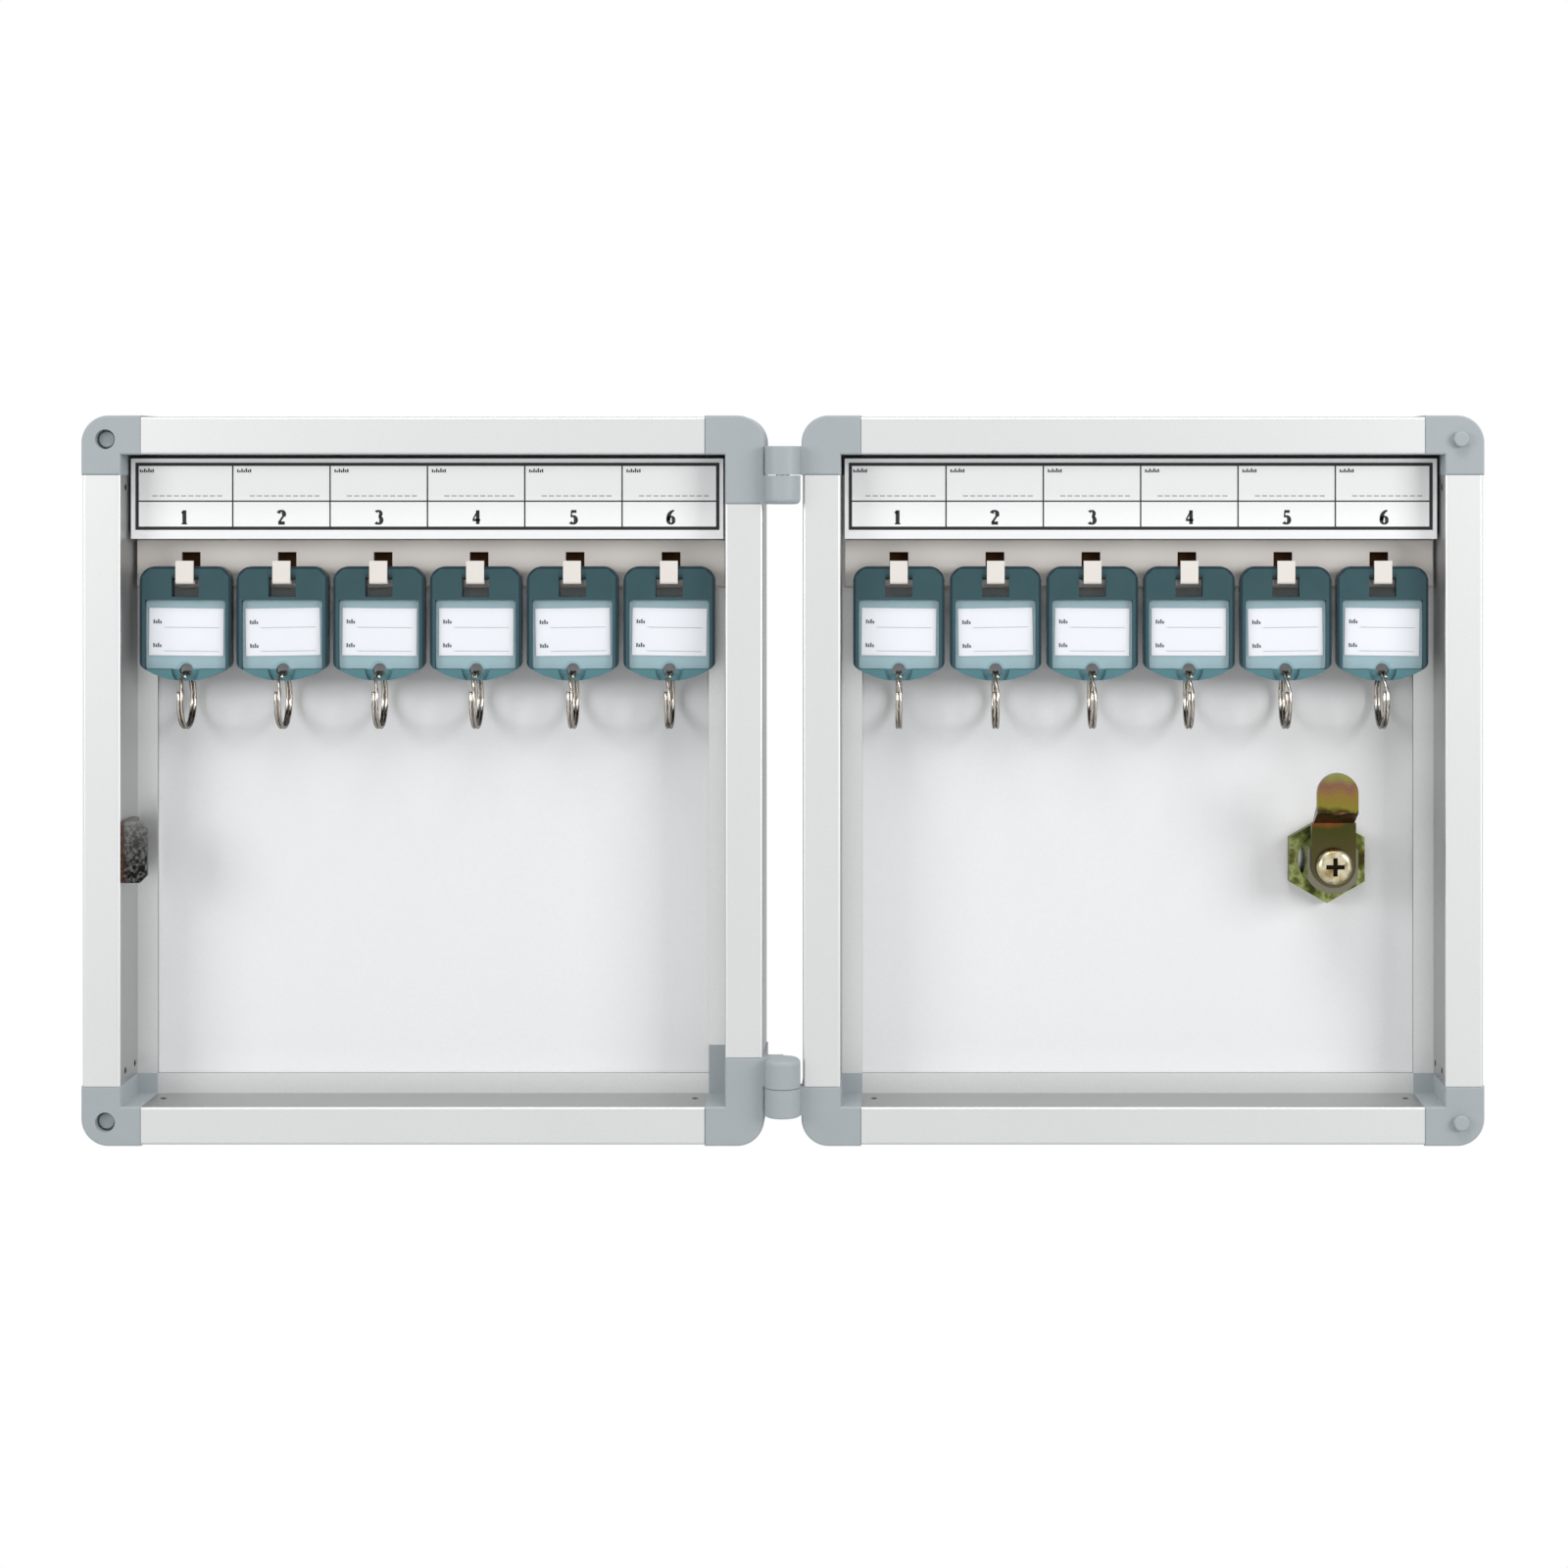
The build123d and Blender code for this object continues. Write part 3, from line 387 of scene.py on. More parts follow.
PLAIN_FINISHES = {
    # Matt white board with a fine pebbled skin
    "white_panel": ("panel", (-0.06, -0.035), (0.9, 70.0), (0.8, 0.9), (0.62, 0.1), (0.22, 0.06),
                    {"Specular IOR Level": 0.35}),
    # Grey nylon of the corner blocks, with a spark-eroded skin
    "corner_plastic": ("corner", (-0.08, 0.08), (0.4, 9.0), (0.6, 0.5), (0.48, 0.12), (0.2, 0.04),
                       {"Specular IOR Level": 0.4}),
    # Smooth pale strip of the label holders
    "label_frame": ("holder", (-0.03, -0.05), (0.6, 40.0), (0.4, 0.5), (0.35, 0.08), (0.05, 0.02),
                    {"Metallic": 0.1}),
    # Uncoated card with a faint fibre
    "card": ("card", (-0.04, -0.02), (0.5, 25.0), (0.5, 0.6), (0.75, 0.1), (0.12, 0.02),
             {"Specular IOR Level": 0.3}),
    # Cream stoving paint on the hook rails, with a slight orange peel
    "cream_steel": ("hook_rail", (-0.03, -0.05), (1.6, 30.0), (0.5, 0.6), (0.38, 0.1), (0.12, 0.03),
                    {"Coat Weight": 0.15}),
    # Dark brown painted shade behind the hook rails' windows, with an open grain
    "foam_tape": ("tape", (-0.5, 0.06), (0.6, 6.0), (0.9, 0.5), (0.95, 0.05), (0.6, 0.2),
                  {"Specular IOR Level": 0.1}),
    # Dense black print that lets a little paper through
    "print_ink": ("ink", (0.1, 0.06), (0.22, 5.0), (0.6, 0.6), (0.6, 0.1), (0.05, 0.01),
                  {"Specular IOR Level": 0.3}),
    # Thin grey print, broken where the ink is starved
    "pale_print": ("pale_ink", (0.6, 0.5), (0.3, 7.0), (0.8, 0.9), (0.65, 0.1), (0.05, 0.01),
                   {"Specular IOR Level": 0.3}),
    # Smooth white paper of the tags
    "tag_paper": ("paper", (-0.02, -0.03), (0.3, 12.0), (0.4, 0.6), (0.7, 0.08), (0.08, 0.01),
                  {"Specular IOR Level": 0.3}),
    # Plain bright steel of the small fixings
    "bright_steel": ("steel", (-0.2, -0.3), (0.4, 5.0), (0.5, 0.6), (0.32, 0.12), (0.15, 0.02),
                     {"Metallic": 1.0}),
    # Dull black strip of painted shade in the gap over the label holders, with a rough grain
    "black_felt": ("felt", (-0.5, 0.05), (0.3, 5.0), (0.8, 0.6), (0.95, 0.04), (0.5, 0.15),
                   {"Specular IOR Level": 0.1}),
}


def plain_finish(name):
    """A finish that is nothing but the shared grain."""
    field, *values = PLAIN_FINISHES[name]
    return finish(name, getattr(colours(), field), *values)


# How sharply and how much painted shade darkens the rails where they are seen aslant
SLANT_SHADE_CURVE = 1.6
SLANT_SHADE_SHARE = 0.75


def satin_aluminium():
    """Bead-blasted, clear anodised rails with a fine sparkle, and painted shade where they are seen aslant.
    """
    colour = colours().rail
    material = finish("satin_aluminium", colour, tones=(0.8, -0.05), spans=(0.35, 60.0), shares=(0.5, 0.4),
                      roughness=(0.42, 0.08), bump=(0.18, 0.05), constants={"Metallic": 0.85})
    tree = material.node_tree
    slant_shade = maths(tree, "POWER", facing_away(tree, 0.5), SLANT_SHADE_CURVE)
    overlay(material, maths(tree, "MULTIPLY", slant_shade, SLANT_SHADE_SHARE), darker(colour, 0.45))
    return material


def tag_plastic(name, colour, roughness):
    """One tone of the tags' translucent plastic."""
    constants = {"Specular IOR Level": 0.25, "Coat Weight": 0.08, "Coat Roughness": 0.2}
    return finish(name, colour, tones=(-0.12, 0.08), spans=(0.9, 8.0), shares=(0.4, 0.6),
                  roughness=(roughness, 0.12), bump=(0.08, 0.03), constants=constants)


def clear_cover():
    """Clear moulded cover, faintly blue."""
    constants = {"Alpha": 0.1, "IOR": 1.45, "Coat Weight": 0.15, "Coat Roughness": 0.08}
    return finish("tag_cover", colours().tag_cover, tones=(0.3, -0.08), spans=(1.5, 9.0), shares=(0.4, 0.5),
                  roughness=(0.12, 0.05), bump=(0.05, 0.03), constants=constants)


# Dark and bright bands of painted reflection along the wire
NICKEL_REFLECTIONS = (
    (0.10, shade(62, 54, 46)),
    (0.30, shade(226, 218, 206)),
    (0.42, shade(92, 82, 72)),
    (0.52, shade(240, 236, 228)),
    (0.66, shade(150, 138, 124)),
    (0.80, shade(48, 42, 38)),
    (0.92, shade(214, 206, 194)),
)
# Painted shade where the wire is seen edge on
NICKEL_EDGE_SHADE = shade(38, 32, 28)
# Patches of drift per metre, and how much of the painted reflection's tone comes from facing up, sideways and
# from drift
WIRE_PATCHES = 260.0
CLIMB_SHARE = 0.3
SIDEWAYS_SHARE = 0.22
DRIFT_SHARE = 0.9


def nickel_plate():
    """Bright nickel with painted reflections, whose tone swings with the way it faces, and painted shade
    where it is seen edge on.
    """
    colour = colours().nickel
    material, tree, shader = new_material("nickel_wire")
    place = tree.nodes.new("ShaderNodeTexCoord").outputs
    facing = axes(tree, place["Normal"])
    turned = maths(tree, "MULTIPLY", facing["X"], SIDEWAYS_SHARE)
    drift = noise(tree, place["Object"], WIRE_PATCHES, detail=2.0)
    away = maths(tree, "MULTIPLY", maths(tree, "SUBTRACT", drift, 0.5), DRIFT_SHARE)
    climb = maths(tree, "ADD", maths(tree, "MULTIPLY", facing["Z"], CLIMB_SHARE), 0.5)
    swing = maths(tree, "ADD", maths(tree, "ADD", climb, turned), away)
    mirrored = tone_ramp(tree, swing, NICKEL_REFLECTIONS)
    toned = mix_colours(tree, 0.15, mirrored, linear(colour))
    slant_shade = maths(tree, "MULTIPLY", facing_away(tree, 0.5), 0.85)
    tree.links.new(mix_colours(tree, slant_shade, toned, linear(NICKEL_EDGE_SHADE)), shader.inputs["Base Color"])
    rough = maths(tree, "ADD", maths(tree, "MULTIPLY", drift, 0.14), 0.1)
    tree.links.new(rough, shader.inputs["Roughness"])
    shader.inputs["Metallic"].default_value = 1.0
    return material


def chrome_plate():
    """Chrome on the lock's face outside the door, and a dull casting on its barrel inside."""
    colour = colours().chrome
    material = finish("lock_chrome", colour, tones=(-0.08, -0.15), spans=(0.5, 9.0), shares=(0.3, 0.5),
                      roughness=(0.14, 0.08), bump=(0.05, 0.01), constants={"Metallic": 1.0})
    tree = material.node_tree
    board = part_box("door_panel")[0].y
    inside = stretched(tree, axes(tree, object_place(tree))["Y"], board + MM, board)
    overlay(material, inside, colours().casting)
    return material


def screw_steel():
    """Blackened set screws, dark in their sockets."""
    colour = darker(colours().strike, 0.35)
    return finish("set_screw_steel", colour, tones=(-0.4, 0.1), spans=(0.4, 3.0), shares=(0.5, 0.6),
                  roughness=(0.45, 0.12), bump=(0.15, 0.02), constants={"Metallic": 0.8})


# Dark brown of the painted shade at the strike's bend
BEND_SHADE = shade(70, 42, 32)
# Where the painted shade at the strike's bend ends and where it is full, in millimetres from the rail
BEND_SHADE_REACH = (1.6, 0.8)
# Mottles per metre, and the noise from black to rubbed bright
MOTTLE_SCALE = 1100.0
MOTTLE = (0.45, 0.64)


def blued_steel():
    """Mottled dark strike with rubbed patches, painted light towards its top, and painted shade at its bend
    where it meets the rail.
    """
    colour = colours().strike
    material, tree, shader = new_material("dark_steel")
    place = object_place(tree)
    mottle = stretched(tree, noise(tree, place, MOTTLE_SCALE, detail=5.0), *MOTTLE)
    rubbed = mix_colours(tree, mottle, linear(darker(colour, 0.8)), linear(lighter(colour, 0.2)))
    low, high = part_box("strike")
    across = axes(tree, place)
    height = stretched(tree, across["Z"], low.z, high.z)
    # Painted light, growing towards the strike's top
    top_light = maths(tree, "MULTIPLY", maths(tree, "POWER", height, 3.0), 0.5)
    toned = mix_colours(tree, top_light, rubbed, linear(lighter(colour, 0.45)))
    # Painted shade at the strike's bend, beside the rail
    seam = stretched(tree, across["X"], *(low.x + reach * MM for reach in BEND_SHADE_REACH))
    bend_shade = maths(tree, "MULTIPLY", seam, 0.75)
    tree.links.new(mix_colours(tree, bend_shade, toned, linear(BEND_SHADE)), shader.inputs["Base Color"])
    rough = maths(tree, "ADD", maths(tree, "MULTIPLY", mottle, 0.3), 0.25)
    tree.links.new(rough, shader.inputs["Roughness"])
    add_bump(tree, shader, mottle, 0.3, 0.05)
    shader.inputs["Metallic"].default_value = 0.85
    return material


NUT_TONES = (
    (0.30, shade(58, 66, 34)),
    (0.42, shade(122, 138, 72)),
    (0.50, shade(176, 186, 124)),
    (0.58, shade(112, 120, 62)),
    (0.70, shade(62, 54, 32)),
)
# Plating hues up the cam's height, with a painted highlight and painted shade across the bend of its crank
CAM_HUES_AND_BEND_LIGHT = (
    (0.00, shade(104, 96, 72)),
    (0.34, shade(84, 78, 50)),
    (0.51, shade(70, 74, 36)),
    (0.57, shade(150, 80, 48)),
    (0.61, shade(204, 146, 120)),
    (0.66, shade(54, 44, 28)),
    (0.70, shade(152, 142, 60)),
    (0.82, shade(160, 132, 68)),
    (0.90, shade(152, 106, 92)),
    (1.00, shade(160, 168, 92)),
)
SCREW_TONES = (
    (0.34, shade(156, 134, 92)),
    (0.46, shade(226, 212, 170)),
    (0.56, shade(246, 238, 210)),
    (0.70, shade(128, 110, 66)),
)
# Patches and grains of the plating per metre
ZINC_PATCHES = 190.0
ZINC_GRAINS = 2600.0
ZINC_STAIN = shade(62, 56, 26)
# Painted shade on plating seen aslant
ZINC_SLANT_SHADE = shade(52, 50, 22)
# Painted shade in the cross of the cam screw's head
SCREW_CROSS_SHADE = shade(34, 28, 18)
# The cross of the cam screw's head, which holds painted shade, in millimetres: its middle's depth, and where
# its edge and rim fade
CROSS_MIDDLE = 1.2
CROSS_EDGE = (3.1, 2.8)
CROSS_RIM = (0.5, 0.8)


def screw_recess(tree, place):
    """1 inside the cross of the cam screw's head, 0 on its dome."""
    low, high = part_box("lock_cam_screw")
    centre = ((low.x + high.x) / 2, low.y + CROSS_MIDDLE * MM, (low.z + high.z) / 2)
    reach = tree.nodes.new("ShaderNodeVectorMath")
    reach.operation = "DISTANCE"
    tree.links.new(place, reach.inputs[0])
    reach.inputs[1].default_value = centre
    near = stretched(tree, reach.outputs["Value"], *(far * MM for far in CROSS_EDGE))
    deep = stretched(tree, axes(tree, place)["Y"], *(low.y + far * MM for far in CROSS_RIM))
    return maths(tree, "MULTIPLY", near, deep)


def zinc_plate(name, tones, height_node=None):
    """Yellow passivated zinc, with painted shade where it is seen aslant. Its tones drift over the plating,
    or climb a node's height with a drift.
    """
    material, tree, shader = new_material(name)
    place = object_place(tree)
    drift = noise(tree, place, ZINC_PATCHES, detail=3.0, roughness=0.5)
    if height_node:
        low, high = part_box(height_node)
        climb = stretched(tree, axes(tree, place)["Z"], low.z, high.z)
        away = maths(tree, "SUBTRACT", drift, 0.5)
        drift = maths(tree, "ADD", climb, maths(tree, "MULTIPLY", away, 0.16))
    plated = tone_ramp(tree, drift, tones)
    grain = noise(tree, place, ZINC_GRAINS)
    stained = maths(tree, "MULTIPLY", grain, 0.62)
    grained = mix_colours(tree, stained, plated, linear(ZINC_STAIN))
    # Painted shade where the plating is seen aslant
    slant_shade = maths(tree, "MULTIPLY", facing_away(tree, 0.35), 0.8)
    tree.links.new(mix_colours(tree, slant_shade, grained, linear(ZINC_SLANT_SHADE)), shader.inputs["Base Color"])
    rough = maths(tree, "ADD", maths(tree, "MULTIPLY", grain, 0.18), 0.2)
    tree.links.new(rough, shader.inputs["Roughness"])
    add_bump(tree, shader, grain, 0.12, 0.02)
    shader.inputs["Metallic"].default_value = 1.0
    return material


def screw_plate():
    """Pale gold screw with painted shade in its cross."""
    material = zinc_plate("pale_zinc", SCREW_TONES)
    tree = material.node_tree
    overlay(material, screw_recess(tree, object_place(tree)), SCREW_CROSS_SHADE)
    return material


# The closing socket in a corner and the buffer in it, in millimetres
SOCKET_INSET = 7.0
SOCKET_DEPTH = 3.4
BUTTON_RADIUS = 2.3
BUTTON_HEIGHT = 1.35
BUTTON_EDGE = 0.25
BUTTON_SIDES = 40


def socket_button(corner, is_top):
    """The buffer in the closing socket of one of the body's free corners."""
    low, high = box_mm(corner)
    z = high.z - SOCKET_INSET if is_top else low.z + SOCKET_INSET
    centre = (low.x + SOCKET_INSET, low.y + SOCKET_DEPTH - CLEARANCE - BUTTON_HEIGHT / 2, z)
    bm = bmesh.new()
    bmesh.ops.create_cone(bm, cap_ends=True, segments=BUTTON_SIDES, radius1=BUTTON_RADIUS,
                          radius2=BUTTON_RADIUS, depth=BUTTON_HEIGHT)
    bmesh.ops.rotate(bm, cent=(0, 0, 0), matrix=Matrix.Rotation(pi / 2, 3, "X"), verts=bm.verts)
    bmesh.ops.translate(bm, vec=centre, verts=bm.verts)
    rims = [edge for edge in bm.edges if edge.calc_face_angle() > 1]
    bmesh.ops.bevel(bm, geom=rims, affect="EDGES", offset=BUTTON_EDGE, segments=2, profile=0.5, material=-1)
    return bm


class KEYBOX_OT_trays(bpy.types.Operator):
    """Finish the rails, corner blocks, panels, holders, hook rails and small fixings"""

    bl_idname = "key_box.trays"
    bl_label = "Trays"

    def execute(self, context):
        slots = ("white_panel", "corner_plastic", "label_frame", "card", "cream_steel", "bright_steel")
        finishes = {slot: plain_finish(slot) for slot in slots}
        finishes["satin_aluminium"] = satin_aluminium()
        socket = screw_steel()
        for part in frame["record"]["subparts"]:
            if part["material_slot"] in finishes:
                dress(part["node"], finishes[part["material_slot"]])
        for tray in TRAYS:
            dress(f"{tray}_corner_screws", socket)
        for place, is_top in (("top", True), ("bottom", False)):
            button = socket_button(f"body_corner_{place}_left", is_top)
            new_piece(button, f"body_socket_button_{place}", "body",
                      [finishes["corner_plastic"]])
        return {"FINISHED"}


class KEYBOX_OT_lock(bpy.types.Operator):
    """Finish the lock and the strike"""

    bl_idname = "key_box.lock"
    bl_label = "Lock and strike"

    def execute(self, context):
        chrome = chrome_plate()
        dress("lock_nut", zinc_plate("yellow_zinc", NUT_TONES))
        dress("lock_cam", zinc_plate("rainbow_zinc", CAM_HUES_AND_BEND_LIGHT, "lock_cam"))
        dress("lock_cam_screw", screw_plate())
        for node in ("lock_barrel", "lock_plug"):
            dress(node, chrome)
        dress("strike", blued_steel())
        return {"FINISHED"}


# Sides of the ring's wire, steps along a turn and the crossing, the angles of both and where the wire starts
WIRE_SIDES = 14
TURN_STEPS = 54
CROSSING_STEPS = 6
TURN_ANGLE = radians(324)
CROSSING_ANGLE = radians(36)
WIRE_START = radians(70)


def split_ring(node):
    """Two closed turns of oval wire with a short crossing, in the place of a CAD ring."""
    values = sizes()
    wide, deep, pitch = values.wire_width / MM, values.wire_depth / MM, values.turn_pitch / MM
    low, high = box_mm(node)
    centre = (low + high) / 2
    radius = (high.z - low.z - deep) / 2
    bm = bmesh.new()
    profile = bmesh.ops.create_circle(bm, segments=WIRE_SIDES, radius=0.5)["verts"]
    bmesh.ops.scale(bm, vec=(wide, deep, 1), verts=profile)
    bmesh.ops.rotate(bm, cent=(0, 0, 0), matrix=Matrix.Rotation(pi / 2, 3, "X"), verts=profile)
    bmesh.ops.translate(bm, vec=(-pitch / 2, 0, radius), verts=profile)
    bmesh.ops.rotate(bm, cent=(0, 0, 0), matrix=Matrix.Rotation(WIRE_START, 3, "X"), verts=profile)
    bmesh.ops.translate(bm, vec=centre, verts=profile)
    wire = [*profile, *bm.edges]
    for angle, steps, shift in (
        (TURN_ANGLE, TURN_STEPS, 0),
        (CROSSING_ANGLE, CROSSING_STEPS, pitch),
        (TURN_ANGLE, TURN_STEPS, 0),
    ):
        wire = bmesh.ops.spin(bm, geom=wire, cent=centre, axis=(1, 0, 0), dvec=(shift / steps, 0, 0),
                              angle=angle, steps=steps)["geom_last"]
    for face in bm.faces:
        face.smooth = True
    bmesh.ops.holes_fill(bm, edges=[edge for edge in bm.edges if edge.is_boundary])
    bmesh.ops.recalc_face_normals(bm, faces=bm.faces)
    return bm


class KEYBOX_OT_rings(bpy.types.Operator):
    """Make the split rings of two closed turns of nickel plated wire"""

    bl_idname = "key_box.rings"
    bl_label = "Split rings"

    def execute(self, context):
        nickel = nickel_plate()
        for tray in TRAYS:
            for index in range(1, HOOKS + 1):
                node = f"{tray}_ring_{index}"
                ring = new_piece(split_ring(node), f"{node}_wire", node, [nickel])
                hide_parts(node)
        return {"FINISHED"}


def aim(thing, place, target):
    """Put a lamp or camera at a place, looking at a target."""
    thing.location = place
    thing.rotation_euler = (Vector(target) - Vector(place)).to_track_quat("-Z", "Y").to_euler()


def add_lamp(name, place, target, power, width, height):
    lamp = bpy.data.lights.new(name, "AREA")
    lamp.shape = "RECTANGLE"
    lamp.size = width
    lamp.size_y = height
    lamp.energy = power
    thing = bpy.data.objects.new(name, lamp)
    bpy.context.scene.collection.objects.link(thing)
    aim(thing, place, target)


def world_light(ambient):
    """White to the camera, to mirrors and through glass; a softer white to everything else."""
    world = bpy.data.worlds.new("studio")
    bpy.context.scene.world = world
    world.use_nodes = True
    tree = world.node_tree
    tree.nodes.clear()
    rays = tree.nodes.new("ShaderNodeLightPath").outputs
    seen = maths(tree, "MAXIMUM", rays["Is Camera Ray"], rays["Is Glossy Ray"])
    seen = maths(tree, "MAXIMUM", seen, rays["Is Transmission Ray"])
    white = maths(tree, "MULTIPLY", seen, 1 - ambient)
    background = tree.nodes.new("ShaderNodeBackground")
    tree.links.new(maths(tree, "ADD", white, ambient), background.inputs["Strength"])
    background.inputs["Color"].default_value = (1, 1, 1, 1)
    output = tree.nodes.new("ShaderNodeOutputWorld")
    tree.links.new(background.outputs["Background"], output.inputs["Surface"])


def pale_floor():
    """White floor that keeps the object's soft shadow."""
    material, tree, shader = new_material("floor")
    cloud = noise(tree, object_place(tree), 3.0)
    tone = mix_colours(tree, maths(tree, "MULTIPLY", cloud, 0.2),
                       linear(shade(250, 250, 250)), linear(shade(242, 243, 244)))
    tree.links.new(tone, shader.inputs["Base Color"])
    shader.inputs["Roughness"].default_value = 0.9
    return material


def add_sheet(name, corners, material):
    """A flat stage sheet through four corners in metres."""
    bm = bmesh.new()
    bm.faces.new([bm.verts.new(corner) for corner in corners])
    bmesh.ops.subdivide_edges(bm, edges=bm.edges, cuts=3, use_grid_fill=True)
    mesh = bpy.data.meshes.new(name)
    bm.to_mesh(mesh)
    bm.free()
    mesh.materials.append(material)
    sheet = bpy.data.objects.new(name, mesh)
    bpy.context.scene.collection.objects.link(sheet)


# The camera's place in millimetres and its shift, fitted to the photo
CAMERA_X = 141.6
CAMERA_Z = -12.0
CAMERA_SHIFT = (-0.078, -0.196)
# How far lamps stand aside, ahead and above, in shares of the camera's distance, and their sizes in metres
SIDE_LAMP_PLACE = (1.15, 0.85, 0.35)
SIDE_LAMP_SIZE = (0.5, 0.5)
LEFT_LAMP_SHARE = 0.75
TOP_LAMP_AHEAD = 0.5
TOP_LAMP_SIZE = (0.7, 0.3)
# The floor's drop below the box and half its width, in metres
FLOOR_DROP = 0.42
FLOOR_HALF = 0.62


class KEYBOX_OT_stage(bpy.types.Operator):
    """Set up the camera, the lamps, the white surroundings and the floor"""

    bl_idname = "key_box.stage"
    bl_label = "Stage"

    def execute(self, context):
        scene, values = context.scene, studio()
        scene.view_settings.view_transform = "Standard"
        low, high = CAD_BOX
        centre = (low + high) / 2
        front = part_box("body_rail_left")[0].y
        data = bpy.data.cameras.new("camera")
        data.lens = values.lens
        data.shift_x, data.shift_y = CAMERA_SHIFT
        camera = bpy.data.objects.new("camera", data)
        scene.collection.objects.link(camera)
        camera.location = (CAMERA_X * MM, front - values.distance, CAMERA_Z * MM)
        camera.rotation_euler = (pi / 2, 0, 0)
        scene.camera = camera
        world_light(values.ambient)
        reach = values.distance
        aside, ahead, above = (share * reach for share in SIDE_LAMP_PLACE)
        for name, side, share in (("lamp_left", -1, LEFT_LAMP_SHARE), ("lamp_right", 1, 1)):
            place = (centre.x + side * aside, front - ahead, centre.z + above)
            add_lamp(name, place, centre, values.side_lamp * share, *SIDE_LAMP_SIZE)
        place = (centre.x, front - TOP_LAMP_AHEAD * reach, high.z + reach)
        add_lamp("lamp_top", place, centre, values.top_lamp, *TOP_LAMP_SIZE)
        corners = [(centre.x + x * FLOOR_HALF, y * FLOOR_HALF, low.z - FLOOR_DROP)
                   for x, y in ((-1, -1), (1, -1), (1, 1), (-1, 1))]
        add_sheet("floor", corners, pale_floor())
        return {"FINISHED"}


# Steps of a round stroke, a numeral's width as a share of its height, and how much ink widens a stroke
BOW_STEPS = 18
NUMERAL_WIDE = 0.56
INK_SPREAD = 1.5


def bar(x0, z0, x1, z1, width):
    """A straight stroke of a numeral: its spine and widths, in shares of the numeral's height."""
    return [Vector((x0, z0)), Vector((x1, z1))], [width, width]


def bow(x, z, half_wide, half_tall, start, end, thin, thick):
    """A round stroke between two angles in degrees, thick at its sides and thin above and below."""
    angles = [radians(start + (end - start) * step / BOW_STEPS) for step in range(BOW_STEPS + 1)]
    spine = [Vector((x + half_wide * cos(angle), z + half_tall * sin(angle))) for angle in angles]
    return spine, [thin + (thick - thin) * abs(cos(angle)) for angle in angles]


def numeral_strokes(number):
    """The strokes of a bold book numeral from 1 to 6."""
    return {
        1: (bar(0.30, 0, 0.30, 1, 0.19), bar(0.10, 0.80, 0.30, 0.94, 0.09),
            bar(0.10, 0.03, 0.50, 0.03, 0.06)),
        2: (bow(0.27, 0.72, 0.20, 0.235, 165, -35, 0.09, 0.20), bar(0.43, 0.60, 0.10, 0.12, 0.10),
            bar(0.05, 0.08, 0.52, 0.08, 0.16)),
        3: (bow(0.25, 0.76, 0.18, 0.20, 150, -80, 0.08, 0.17),
            bow(0.25, 0.29, 0.22, 0.26, 85, -145, 0.08, 0.20)),
        4: (bar(0.40, 0, 0.40, 1, 0.17), bar(0.40, 0.97, 0.06, 0.34, 0.07),
            bar(0.03, 0.30, 0.57, 0.30, 0.11)),
        5: (bar(0.12, 0.92, 0.50, 0.92, 0.14), bar(0.15, 0.95, 0.12, 0.50, 0.07),
            bow(0.24, 0.31, 0.22, 0.27, 120, -145, 0.08, 0.20)),
        6: (bow(0.56, 0.42, 0.45, 0.56, 95, 195, 0.06, 0.20),
            bow(0.29, 0.29, 0.20, 0.26, 0, 360, 0.07, 0.18)),
    }[number]


def add_numeral(bm, number, x, z, front):
    """A bold numeral on the card, centred across x with its foot at z."""
    tall = sizes().numeral / MM
    left = x - NUMERAL_WIDE / 2 * tall
    for spine, widths in numeral_strokes(number):
        rows = []
        for index, (point, width) in enumerate(zip(spine, (share * INK_SPREAD for share in widths))):
            along = (spine[min(index + 1, len(spine) - 1)] - spine[max(index - 1, 0)]).normalized()
            across = Vector((-along.y, along.x)) * width / 2
            rows.append([bm.verts.new((left + place.x * tall, front, z + place.y * tall))
                         for place in (point + across, point - across)])
        faces = [bm.faces.new((near[0], near[1], far[1], far[0])) for near, far in zip(rows, rows[1:])]
        grown = bmesh.ops.extrude_face_region(bm, geom=faces)["geom"]
        rear = [item for item in grown if isinstance(item, bmesh.types.BMVert)]
        bmesh.ops.translate(bm, vec=(0, sizes().ink / MM, 0), verts=rear)


def add_caption(bm, x, z, depth, heights, pitch=0.62, width=0.42):
    """A short row of uneven marks where a form has its caption."""
    for index, height in enumerate(heights):
        left = x + index * pitch
        add_bar(bm, (left, left + width), depth, (z, z + height))


# The label print, in millimetres
CARD_EDGE = 0.45
NUMERAL_FOOT = 0.7
CAPTION_HEIGHTS = (0.9, 0.6, 1.1, 0.7, 1.2, 0.8, 1.0)
CAPTION_INSET = 0.3
CAPTION_DROP = 1.9
DASHES = 10
DASH_SHARE = 0.7
DASH_RISE = (1.5, 2.0)
DASHES_START = 5.0
DASHES_END = 2.5


def card_window(tray):
    """The part of a tray's card that its holder leaves open: x, z and the card's front."""
    low, high = box_mm(f"{tray}_label_card")
    return (low.x + CARD_EDGE, high.x - CARD_EDGE), (low.z + CARD_EDGE, high.z - CARD_EDGE), low.y


